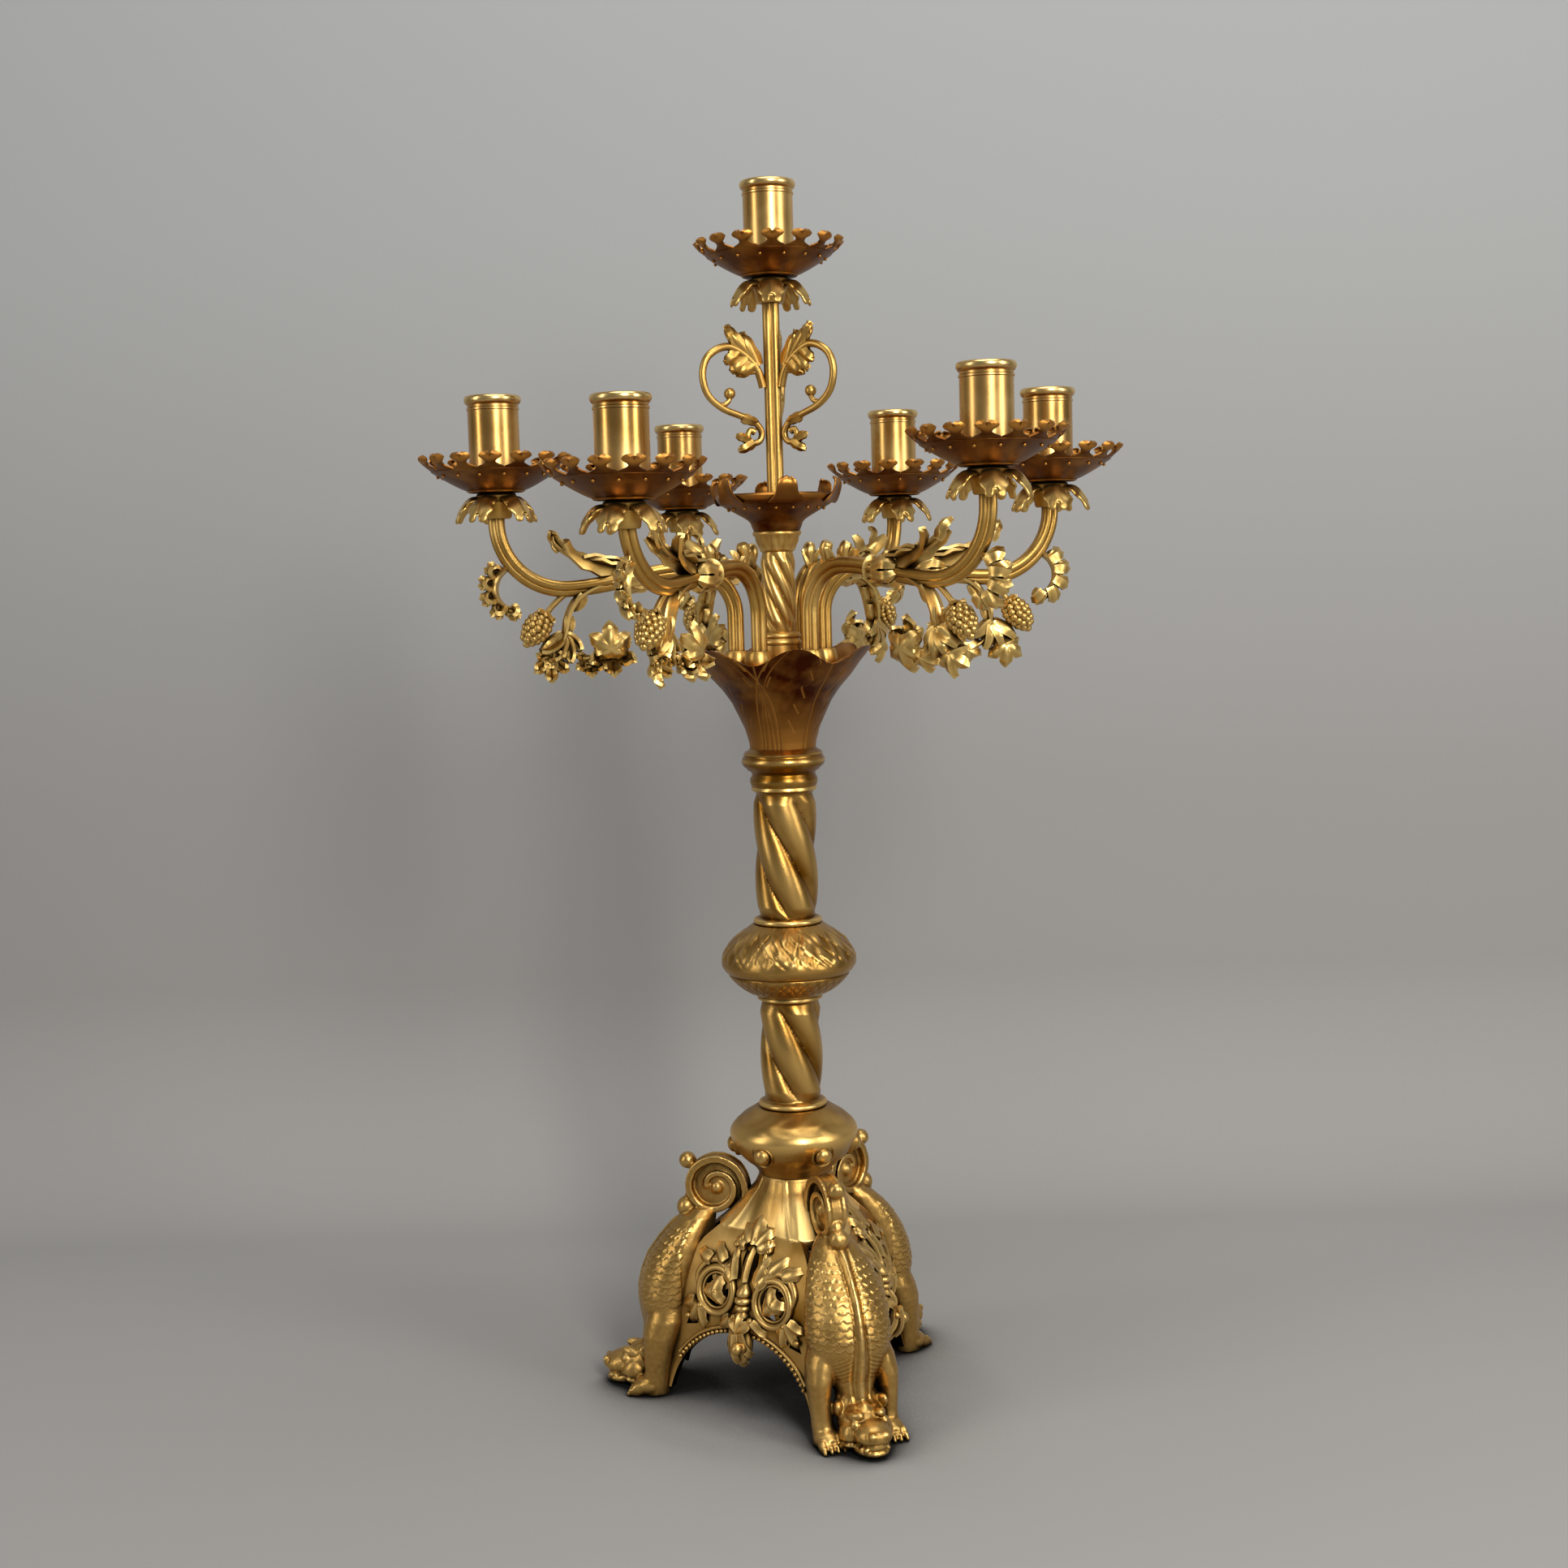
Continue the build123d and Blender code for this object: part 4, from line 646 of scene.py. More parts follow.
boss_profile = [(7.4, -1.6), (7.2, 0.4), (6.6, 1.3), (5.9, 0.8), (5.2, 0.4), (4.9, 2.0), (3.9, 3.6),
                (2.2, 4.6), (0.3, 4.95)]
boss = turn_on_lathe("boss", boss_profile, 32)
boss_tilt = Matrix.Rotation(math.radians(104), 4, "Y")
bosses = []
for index in range(6):
    place = compass(-32 + 60 * index) @ shift(34.3, 0, 148.4) @ boss_tilt
    bosses.append(copy_piece(boss, "boss", place))
bosses = joined("ringed_bosses", bosses)
bpy.data.objects.remove(boss)
set_wear(bosses, lambda p: 0.8 * ridge(math.hypot(p.x, p.y), 38.6, 1.8))
finish(bosses, column_gilt, stands_for=["lower_knop_bosses"], angle=40)


# %% [markdown]
# ## The calyx
#
# The calyx is a flared cup of overlapping leaves, engraved with outlines, ribs and short veins, and its rim
# waves up between them. The lathe gives the flare with a wall. A rule then lowers the rim in the valleys,
# steps the front leaves out over the back ones, and cuts the lines. The cut lines are bright, because the
# dark lacquer wore off first there, and the foot of the cup is lighter than its rim.

# %% Calyx
CALYX_OUTLINE = [(381.0, 18.9), (385, 19.4), (392.7, 21.5), (400, 24.7), (407.7, 28.2), (415, 33.1),
                 (422.6, 39.8), (430, 45.0), (436, 50.0), (442, 55.0), (446, 58.6)]
CALYX_FOOT, CALYX_FLOOR, CALYX_RIM = 381.0, 384.0, 434.5
# Compass angles of the three leaves that lie in front of the other three
FRONT_LEAVES = (40, 160, 280)


def calyx_radius(height):
    """The calyx's outer radius at a height."""
    for (low, near), (high, far) in zip(CALYX_OUTLINE, CALYX_OUTLINE[1:]):
        if height <= high:
            return near + (far - near) * max(0.0, height - low) / (high - low)
    return CALYX_OUTLINE[-1][1]


def calyx_rim(angle):
    """The height of the wavy rim: high at six tips, low between them."""
    return CALYX_RIM + 4.5 * math.cos(math.radians(6 * (angle - 10)))


def leaf_edge(height):
    """Degrees from a front leaf's middle to its edge."""
    share = (height - 392) / 50
    return 74 - 8 * share - 30 * max(0.0, share) ** 2.2


def calyx_lines(angle, height):
    """How strongly a line is engraved at a place, 0 to 1."""
    width = 0.9 * 57.3 / calyx_radius(height)
    marks = 0.0
    for centre in FRONT_LEAVES:
        off = angle_from(angle, centre)
        edge = leaf_edge(height)
        marks = max(marks, ridge(abs(off), edge, width), 0.7 * ridge(abs(off), edge - 7, width))
        if abs(off) < edge:
            marks = max(marks, 0.8 * ridge(off, 0, width))
            for vein in range(5):
                start = 392 + 9.5 * vein
                rise = (height - start) / 6.5
                if 0 < rise < 1:
                    marks = max(marks, ridge(abs(off), (14 + 9 * rise) * 33 / calyx_radius(height), width))
        behind = angle_from(angle, centre - 60)
        marks = max(marks, 0.8 * ridge(behind, 0, width))
        for vein in range(2):
            start = 418 + 9 * vein
            rise = (height - start) / 6
            if 0 < rise < 1:
                marks = max(marks, ridge(abs(behind), 7 + 5 * rise, width))
    return marks


rings_up = 64
calyx_profile = [(4.6, CALYX_FOOT)]
for step in range(rings_up + 1):
    height = CALYX_FOOT + (CALYX_RIM - CALYX_FOOT) * step / rings_up
    calyx_profile.append((calyx_radius(height), height))
calyx_profile += [(calyx_radius(height) - 2.2, height) for height in (CALYX_RIM, 428, 420, 410, 398, 386)]
calyx_profile += [(4.6, CALYX_FLOOR)]
calyx = turn_on_lathe("engraved_calyx", calyx_profile, 480)
for vertex in calyx.data.vertices:
    x, y, z = vertex.co / MM
    radius = math.hypot(x, y)
    if radius < 6:
        continue
    angle = angle_of(x, y)
    share = max(0.0, (z - CALYX_FLOOR) / (CALYX_RIM - CALYX_FLOOR))
    height = z + (calyx_rim(angle) - CALYX_RIM) * share ** 1.5
    outside = radius > calyx_radius(z) - 1.0
    wall = calyx_radius(z) - radius
    reach = calyx_radius(height) - wall
    if outside:
        front = min(abs(angle_from(angle, centre)) for centre in FRONT_LEAVES)
        reach += 0.9 * share * max(0.0, min(1.0, (leaf_edge(height) - front) / 3))
        reach -= 0.55 * calyx_lines(angle, height)
    vertex.co = Vector((x * reach / radius, y * reach / radius, height)) * MM
set_wear(calyx, lambda p: max(
    0.85 * calyx_lines(angle_of(p.x, p.y), p.z) * (math.hypot(p.x, p.y) > calyx_radius(p.z) - 1.2),
    0.75 * (1 - min(1.0, (p.z - CALYX_FOOT) / 32)),
    0.8 * (math.hypot(p.x, p.y) < calyx_radius(p.z) - 1.6)))
finish(calyx, dark_brass, stands_for=["calyx"], angle=60)
print("calyx faces:", len(calyx.data.polygons))


# %% [markdown]
# ## The small column and the dish over the calyx
#
# The rope-twisted column is the same work at a smaller scale, with six strands. It flares into a head that
# carries a shallow spun dish with six leaf points curled up from its rim and a row of punched dots under it.

# %% Rope column
ROPE_BASE = 440.0
rope_rings = 96
rope_profile = [
    (4.2, 440), (11.6, 440.0), (12.2, 441.0), (12.2, 442.4), (11.4, 443.3), (11.2, 443.8), (11.9, 444.4),
    (12.1, 445.4), (11.5, 446.6), (10.4, 447.2),
]
rope_profile += [(9.6, 447.4 + 46 * step / rope_rings) for step in range(rope_rings + 1)]
rope_profile += [(10.2, 494.4), (10.8, 496.4), (11.6, 499.0), (12.4, 501.6), (13.6, 502.6), (14.0, 503.6),
                 (13.6, 504.6), (12.6, 505.0), (3.2, 505.0), (3.0, 514.0), (1.0, 514.2)]
rope = turn_on_lathe("rope_column", rope_profile, 192)
emboss(rope, lobe_relief(18, 6, 86, ROPE_BASE, 447.6, 493.2, 9.9, 7.6, 0.3))
emboss(rope, lambda angle, radius, height:
       0.9 * abs(math.sin(math.radians(angle * 6))) * ridge(height, 499, 5) if radius > 8 else 0.0)
set_wear(rope, lambda p: 0.45 + 0.4 * ridge(math.hypot(p.x, p.y), 10.2, 1.0))
finish(rope, pale_gilt, stands_for=["centre_column"], angle=50)

# %% Crown dish
dish_under = smooth_line(
    [(13.2, 505.0), (14.1, 507.0), (16.2, 511.0), (24.5, 516.0), (32.4, 520.6), (34.6, 524.4)], 5)
dish_top = [(radius - 1.0, height + 1.3) for radius, height in reversed(dish_under)]
dish = turn_on_lathe("crown_dish_pattern", [(3.4, 505.0)] + dish_under + dish_top[:-4] + [(3.4, 507.4)], 120)
set_wear(dish, lambda p: 0.7 * ridge(math.hypot(p.x, p.y), 34.8, 2.0))
# Distance from the axis, height and half width of one curled leaf point
POINT_ROWS = [
    (31.0, 519.6, 8.6), (33.2, 521.6, 7.2), (34.6, 523.6, 5.6), (35.8, 525.8, 4.8), (36.6, 528.2, 4.6),
    (37.0, 530.4, 4.3), (36.6, 532.4, 3.4), (35.4, 533.6, 2.2), (34.4, 533.4, 1.0),
]
point, leaf_points = grid_piece("crown_point", len(POINT_ROWS) - 1, 8)
for (row, column), vertex in leaf_points.items():
    reach, height, half = POINT_ROWS[row]
    across = column / 4 - 1
    notch = 0.6 * math.cos(across * 6) if row > 3 else 0.0
    vertex.co = Vector((reach + 0.8 * abs(across) ** 2, across * half * 1.3,
                        height + 0.4 * (1 - across ** 2) + notch)) * MM
apply_modifier(point, "SOLIDIFY", thickness=1.3 * MM, offset=0.0)
apply_modifier(point, "SUBSURF", levels=1, render_levels=1)
set_wear(point, lambda p: 0.3 + 0.4 * ridge(p.z, 533, 6))
dish_parts = [dish]
for index in range(6):
    dish_parts.append(copy_piece(point, "crown_point", compass(10 + 60 * index)))
dish_parts += punched_row(18, 27.5, 517.4, 0.9)
dish = joined("pointed_crown_dish", dish_parts)
bpy.data.objects.remove(point)
finish(dish, dark_brass, stands_for=["crown_dish"], angle=40)


# %% [markdown]
# ## Arms and stem
#
# Arms and stem are a cluster of three rods run together: a section of three lobes with sharp grooves between
# them. The section is drawn once as a ring of points and carried along the arm's route, each copy square to
# the route, which is what a curve's bevel does too. A rule is used because the route bends in one upright
# plane only, so the section must not twist. The same rule draws the thin vines of the foliage.

# %% Sections carried along a route
def route_frames(points):
    """At each (reach, height) point of a route: the point and the direction square to it in its plane."""
    frames = []
    for index, (reach, height) in enumerate(points):
        back = points[max(index - 1, 0)]
        ahead = points[min(index + 1, len(points) - 1)]
        run, rise = ahead[0] - back[0], ahead[1] - back[1]
        length = math.hypot(run, rise) or 1.0
        frames.append(((reach, height), (-rise / length, run / length)))
    return frames


def carry_section(name, points, section, thickness=None, side=0.0):
    """A closed section, (inwards, sideways) points, carried along a route in the plane y = side."""
    mesh_points, faces = [], []
    frames = route_frames(points)
    count = len(section)
    for step, ((reach, height), (normal_x, normal_z)) in enumerate(frames):
        scale = thickness(step / (len(frames) - 1)) if thickness else 1.0
        for inward, across in section:
            mesh_points.append((MM * (reach + normal_x * inward * scale), MM * (side + across * scale),
                                MM * (height + normal_z * inward * scale)))
    for step in range(len(frames) - 1):
        for index in range(count):
            after = (index + 1) % count
            low, high = step * count, (step + 1) * count
            faces.append((low + index, low + after, high + after, high + index))
    faces.append(tuple(reversed(range(count))))
    faces.append(tuple(range(len(mesh_points) - count, len(mesh_points))))
    mesh = bpy.data.meshes.new(name)
    mesh.from_pydata(mesh_points, [], faces)
    piece = bpy.data.objects.new(name, mesh)
    bpy.context.scene.collection.objects.link(piece)
    select_only(piece)
    bpy.ops.object.mode_set(mode="EDIT")
    bpy.ops.mesh.select_all(action="SELECT")
    bpy.ops.mesh.normals_make_consistent(inside=False)
    bpy.ops.object.mode_set(mode="OBJECT")
    return piece


def round_section(radius, count=10):
    """A round section for vines and stalks."""
    return [(radius * math.cos(2 * math.pi * k / count), radius * math.sin(2 * math.pi * k / count))
            for k in range(count)]


LOBE_RADIUS = 2.9
LOBE_OFFSET = 2.25


def cluster_section(count=36):
    """The three-rod section: at each angle, the farthest of the three circles."""
    section = []
    for index in range(count):
        angle = 2 * math.pi * index / count
        reach = 0.0
        for lobe in range(3):
            off = angle - (math.pi + 2 * math.pi * lobe / 3)
            along = LOBE_OFFSET * math.cos(off)
            inside = LOBE_RADIUS ** 2 - (LOBE_OFFSET * math.sin(off)) ** 2
            if inside > 0:
                reach = max(reach, along + math.sqrt(inside))
        section.append((reach * math.cos(angle), reach * math.sin(angle)))
    return section


def arc(centre, radius, start, end, steps):
    """Points on an arc, angles in degrees, in the arm's plane."""
    return [(centre[0] + radius * math.cos(math.radians(start + (end - start) * k / steps)),
             centre[1] + radius * math.sin(math.radians(start + (end - start) * k / steps)))
            for k in range(steps + 1)]


# %% The arms' route, as in the CAD
ROOT, INNER_BEND, OUTER_BEND, CREST, TROUGH = 25.0, 27.0, 36.8, 485.0, 476.0


def arm_points(top):
    """The arm's centre line from the hub plate to its collar seat."""
    crest = (ROOT + INNER_BEND, CREST)
    trough = (ARM_REACH - OUTER_BEND, TROUGH)
    points = [(ROOT, 427.0), (ROOT, 442.0)]
    points += arc((crest[0], CREST - INNER_BEND), INNER_BEND, 180, 90, 16)
    for step in range(1, 12):
        t = step / 12
        ease = t * t * (3 - 2 * t)
        points.append((crest[0] + (trough[0] - crest[0]) * t, CREST + (TROUGH - CREST) * ease))
    points += arc((trough[0], TROUGH + OUTER_BEND), OUTER_BEND, -90, 0, 20)
    points.append((ARM_REACH, top))
    return points


section = cluster_section()
for number, (angle, rim) in enumerate(zip(ARM_ANGLES, RIM_HEIGHTS), 1):
    arm = carry_section(f"cluster_arm_{number}", arm_points(rim - 60), section)
    sheath_profile = [(7.4, 427.0), (8.0, 428.5), (8.2, 432.0), (7.4, 436.0), (6.6, 437.5)]
    sheath = turn_on_lathe("root_sheath", sheath_profile, 24)
    sheath.data.transform(shift(ROOT, 0, 0))
    arm = joined(arm.name, [arm, sheath])
    set_wear(arm, lambda p: 0.25)
    arm.data.transform(compass(angle))
    finish(arm, pale_gilt, stands_for=[f"arm_{number}"], angle=50)

# %% The stem in the middle
stem = carry_section("cluster_stem", [(0.0, 506.8 + 133.2 * k / 12) for k in range(13)], section)
stem.data.transform(compass(180))
set_wear(stem, lambda p: 0.3)
finish(stem, pale_gilt, stands_for=["centre_stem"], angle=50)


# %% [markdown]
# ## The three C-scrolls
#
# Each scroll springs from the stem in a small acanthus leaf, bows out, sweeps back in and curls up on itself,
# with a ball on a stalk inside the bow. Bow and stalk are thin vines carried along smooth lines through
# measured points. The leaf lobes are small rounded petals set along its rib.

# %% Petal helper
def petal(length, width, thickness, bend, tip_curl=0.0, rows=8, columns=6, notches=0):
    """A leaf lobe along +X from the origin: a grid with a rib, bent down by degrees along its length."""
    piece, table = grid_piece("petal", rows, columns)
    for (row, column), vertex in table.items():
        t = row / rows
        across = column / (columns / 2) - 1
        half = width / 2 * (math.sin(math.pi * (0.12 + 0.86 * t) ** 0.8) ** 0.7)
        if notches:
            half *= 1 - 0.28 * (0.5 + 0.5 * math.cos(2 * math.pi * notches * t)) * (0.2 < t < 0.95)
        turn = math.radians(bend * t + tip_curl * t ** 3)
        x = length * (math.sin(turn) / turn if turn else 1.0) * t
        z = -length * ((1 - math.cos(turn)) / turn if turn else 0.0) * t
        rib = thickness * 0.5 * math.exp(-(across / 0.25) ** 2) - width * 0.12 * across ** 2
        vertex.co = Vector((x + rib * math.sin(turn), across * half, z + rib * math.cos(turn))) * MM
    apply_modifier(piece, "SOLIDIFY", thickness=thickness * MM, offset=-1.0)
    return piece


def tilt(angle):
    """A turn in the upright plane that raises +X by an angle in degrees."""
    return Matrix.Rotation(math.radians(-angle), 4, "Y")


def spin_on_x(angle):
    """A turn about the piece's own length."""
    return Matrix.Rotation(math.radians(angle), 4, "X")


def ball(radius, place):
    """A small cast ball, slightly uneven."""
    bpy.ops.object.select_all(action="DESELECT")
    bpy.ops.mesh.primitive_uv_sphere_add(segments=16, ring_count=10, radius=radius * MM)
    piece = bpy.context.object
    for vertex in piece.data.vertices:
        vertex.co *= 1 + 0.05 * noise.noise(vertex.co / (radius * MM) * 0.9)
    piece.data.transform(place)
    return piece


# %% One scroll and its copies
bow_line = smooth_line(
    [(6.0, 585.5), (8.6, 594.0), (13.5, 600.6), (20.0, 605.5), (26.9, 608.0), (34.3, 605.9), (40.1, 600.7),
     (42.4, 591.8), (39.6, 581.4), (31.3, 574.0), (20.0, 569.6), (11.6, 566.0), (7.6, 560.6), (9.0, 555.6),
     (13.6, 554.6), (16.2, 558.0), (14.4, 561.6), (11.8, 560.6)], 5)
scroll_parts = [carry_section("scroll_bow", bow_line, round_section(2.1),
                              lambda t: 1.15 - 0.35 * t + 0.25 * ridge(t, 1.0, 0.06))]
stalk_line = smooth_line([(32.6, 575.6), (29.4, 576.0), (27.0, 578.2), (26.4, 581.0)], 5)
scroll_parts.append(carry_section("scroll_stalk", stalk_line, round_section(1.5)))
scroll_parts.append(ball(3.3, shift(26.4, 0, 582.0)))
for reach, height, angle, length, width, side in (
    (9.0, 597.5, 62, 20, 9, 0), (14.0, 603.0, 48, 19, 8, 14), (20.0, 607.0, 60, 14, 6.5, -10),
    (10.0, 599.0, -28, 13, 9, 8), (15.5, 602.5, -42, 12, 9, -8), (21.0, 605.0, -40, 9, 7, 6),
    (19.0, 568.6, 198, 9, 5, 0), (13.0, 554.6, -28, 9, 5, 12), (15.4, 556.4, 16, 7, 4.5, -10),
):
    lobe = petal(length, width, 1.6, -38, 50, notches=2)
    lobe.data.transform(shift(reach, 0, height) @ tilt(angle) @ spin_on_x(90 + side))
    scroll_parts.append(lobe)
    twin = copy_piece(lobe, "petal", Matrix.Scale(-1, 4, (0, 1, 0)))
    twin.data.flip_normals()
    scroll_parts.append(twin)
scroll = joined("scroll_pattern", scroll_parts)
set_wear(scroll, lambda p: 0.3 + 0.2 * noise.noise(p * 0.12))
for number, angle in enumerate([-67.0, 53.0, 173.0], 1):
    twin = copy_piece(scroll, f"foliate_scroll_{number}", compass(angle))
    finish(twin, pale_gilt, stands_for=[f"centre_scroll_{number}"], angle=60)
bpy.data.objects.remove(scroll)


# %% [markdown]
# ## Vine foliage on the arms
#
# On every arm grow the same castings: a bud on the crest, a leafy knot with a long leaf over the arm, a
# curled leaf under the outer bend, a bunch of berries, and a hanging acanthus strip that ends in a tendril
# with a vine leaf. They are modelled once in the upright plane of an arm and copied. Leaves are petals side
# by side, and the bunch is a few dozen low berries in rings round an egg, which reads as fruit without
# costing many faces.

# %% Bud and knot
def place_at(reach, height, angle=0.0, roll=0.0, side=0.0, turn=0.0):
    """A place in the arm's plane: raised by an angle, rolled about its length, turned sideways."""
    turned = Matrix.Rotation(math.radians(turn), 4, "Z")
    return shift(reach, side, height) @ turned @ tilt(angle) @ spin_on_x(roll)


def leafy(parts, length, width, place, thickness=1.8, bend=-30, tip_curl=0, notches=2):
    """Add a petal at a place."""
    lobe = petal(length, width, thickness, bend, tip_curl, notches=notches)
    lobe.data.transform(place)
    parts.append(lobe)


foliage = []
bud_line = smooth_line([(41.5, 480.0), (39.0, 487.0), (38.6, 493.0), (40.6, 497.5)], 5)
foliage.append(carry_section("bud", bud_line, round_section(3.0, 12),
                             lambda t: 0.75 + 0.5 * ridge(t, 0.75, 0.45)))
leafy(foliage, 12, 7, place_at(40.5, 483, 110, 90), bend=30, notches=0)
leafy(foliage, 11, 6, place_at(42.5, 484, 80, 90), bend=-40, notches=0)
for turn in range(6):
    around = 60 * turn
    leafy(foliage, 14, 8, place_at(80, 481.2) @ spin_on_x(around) @ shift(0, 0, 6.2) @ tilt(6), bend=-26,
          tip_curl=60)
    leafy(foliage, 12, 7, place_at(86, 480.4) @ spin_on_x(around + 30) @ shift(0, 0, 6.0) @ tilt(170),
          bend=30,
          tip_curl=-60)
knot_line = [(74.0, 482.2), (77.0, 481.8), (82.0, 481.0), (87.0, 480.4), (91.0, 479.8)]
foliage.append(carry_section("knot", knot_line, round_section(7.2, 18),
                             lambda t: 0.94 + 0.16 * math.cos(t * 12.6)))
foliage.append(ball(3.0, shift(85, 0, 489.0)))
foliage.append(ball(2.4, shift(88.5, 3.2, 490.5)))

# %% Long leaf over the arm and curled leaf under it
upper_rib = smooth_line([(86, 486), (96, 488.6), (108, 490.4), (119, 494.2), (126.5, 500.6),
                         (127.6, 505.0)], 5)
foliage.append(carry_section("upper_rib", upper_rib, round_section(2.0, 8), lambda t: 1.0 - 0.6 * t))
for side in (-1, 1):
    leafy(foliage, 43, 14.0, place_at(85, 485.0, 4, side * 42, turn=side * 4), 1.8, -30, -26, notches=4)
    leafy(foliage, 24, 10, place_at(88, 486.6, 12, side * 60, turn=side * 14), 1.8, -26, 20, notches=2)
leafy(foliage, 12, 7, place_at(123.0, 497.0, 60, 90), bend=-20, tip_curl=60)

curl_rib = smooth_line([(151.0, 489.8), (154.0, 487.2), (158.0, 483.6), (160.4, 478.0), (159.6, 471.6),
                        (155.8, 467.0), (151.4, 466.0)], 5)
foliage.append(carry_section("curl_rib", curl_rib,
                             [(0.0, -3.4), (1.8, -2.2), (2.4, 0.0), (1.8, 2.2), (0.0, 3.4), (-1.6, 0.0)],
                             lambda t: 0.45 + 0.75 * math.sin(math.pi * min(1.0, t * 1.08)) ** 0.8))
for reach, height, angle, size in ((157.6, 484.2, 36, 7.6), (160.0, 479.4, 6, 8.2), (160.0, 473.6, -24, 8.0),
                                   (157.4, 468.4, -62, 7.4), (152.8, 466.2, -120, 6.0)):
    for side in (-1, 1):
        leafy(foliage, size, 7.4, place_at(reach, height, angle, 90 + side * 30, side=side * 0.8), 2.6, 46,
              20, notches=0)

# %% Berry bunch
foliage.append(carry_section("bunch_stalk",
                             smooth_line([(119, 474.4), (124.5, 470.4), (130, 465.2), (134.4, 459.6)], 5),
                             round_section(1.7, 8)))
bunch_axis = place_at(138.2, 454.0, -52)
berry_pattern = ball(2.35, Matrix.Identity(4))
for ring_number, (along, reach, count) in enumerate((
        (-8.4, 2.6, 5), (-5.8, 4.6, 8), (-3.0, 5.7, 9), (0.0, 6.0, 10), (3.0, 5.5, 9), (5.9, 4.4, 8),
        (8.4, 2.9, 5), (10.4, 0.6, 1))):
    for index in range(count):
        around = 360 * (index + 0.5 * (ring_number % 2)) / count
        place = bunch_axis @ spin_on_x(around) @ shift(along, 0, reach)
        foliage.append(copy_piece(berry_pattern, "berry", place))
bpy.data.objects.remove(berry_pattern)
core = carry_section("bunch_core", [(-9.0, 0), (-5.0, 0), (0.0, 0), (5.0, 0), (9.6, 0)],
                     round_section(5.2, 12),
                     lambda t: 0.25 + 0.85 * math.sin(math.pi * min(0.98, 0.08 + 0.9 * t)))
core.data.transform(bunch_axis)
foliage.append(core)
for turn in range(4):
    leafy(foliage, 7, 4.4, bunch_axis @ shift(-9.5, 0, 0) @ spin_on_x(90 * turn + 45) @ tilt(48), bend=-60,
          notches=0)

# %% Hanging strip, tendril and vine leaf
strip_rib = smooth_line([(98, 478.0), (108.0, 474.6), (116.0, 468.6), (120.6, 460.0), (122.6, 451.0),
                         (124.0, 446.0)], 5)
foliage.append(carry_section("strip_rib", strip_rib,
                             [(-1.2, -4.0), (0.2, -4.6), (1.0, -1.2), (1.9, 0), (1.0, 1.2), (0.2, 4.6),
                                                       (-1.2, 4.0), (-0.2, 0)],
                             lambda t: 0.75 + 0.5 * math.sin(math.pi * t)))
for reach, height, angle in ((111, 471.6, -60), (119.4, 460.0, -84)):
    for side in (-1, 1):
        leafy(foliage, 11, 6.4, place_at(reach, height, angle, side * 52, side=side * 2.6), 1.9, 24, -50,
              notches=0)
for angle, length in ((-34, 15), (-68, 14), (-104, 15), (-140, 12)):
    for side in (-1, 1):
        leafy(foliage, length, 7.4, place_at(123.4, 449.4, angle, 90 + side * 30, side=side * 1.6), 2.0,
              -30, 40, notches=0)
tendril = smooth_line([(122.0, 449.0), (119.0, 440.0), (113.0, 436.0), (106.0, 437.0), (99.5, 441.0)], 6)
foliage.append(carry_section("tendril", tendril, round_section(1.3, 8)))


def vine_leaf(parts, centre, side, lean, size=1.0):
    """A vine leaf of five lobes round its stalk, with a raised middle."""
    hub = shift(centre[0], side, centre[1]) @ Matrix.Rotation(math.radians(lean), 4, "X")
    for angle, length, width in ((-90, 17, 12), (-32, 15.5, 11), (-148, 15.5, 11), (28, 12, 9.5),
                                 (152, 12, 9.5)):
        leafy(parts, length * size, width * size, hub @ tilt(angle) @ spin_on_x(90), 2.0, 34, 20, notches=2)
    parts.append(ball(2.6 * size, hub))


vine_leaf(foliage, (96.5, 440.0), -2.0, 14)
vine_leaf(foliage, (97.5, 441.5), 4.0, 168, 0.86)
vine_leaf(foliage, (131.0, 436.0), -1.0, -10, 0.7)
vine_leaf(foliage, (109.0, 434.5), 1.0, 20, 0.6)

foliage = joined("foliage_pattern", foliage)
rub_by_shape(foliage, 0.50, 0.8)
print("foliage faces:", len(foliage.data.polygons))
for number, angle in enumerate(ARM_ANGLES, 1):
    twin = copy_piece(foliage, f"vine_foliage_{number}", compass(angle))
    finish(twin, pale_gilt, stands_for=[f"arm_foliage_{number}"], angle=60)
bpy.data.objects.remove(foliage)


# %% [markdown]
# ## The base: three beasts
#
# Each corner of the base is one casting: a scaled beast that bites the floor, a paw at each side, a smooth
# spine, and a volute of flat band on its shoulders. A modeller would block this in clay from a few round
# masses and work them together. Here the masses are stacked ellipses, balls and carried bands, the voxel
# remesh is the clay that joins them, and Smooth takes out the steps. Spine, scales and mouth are then
# pressed in by a rule.

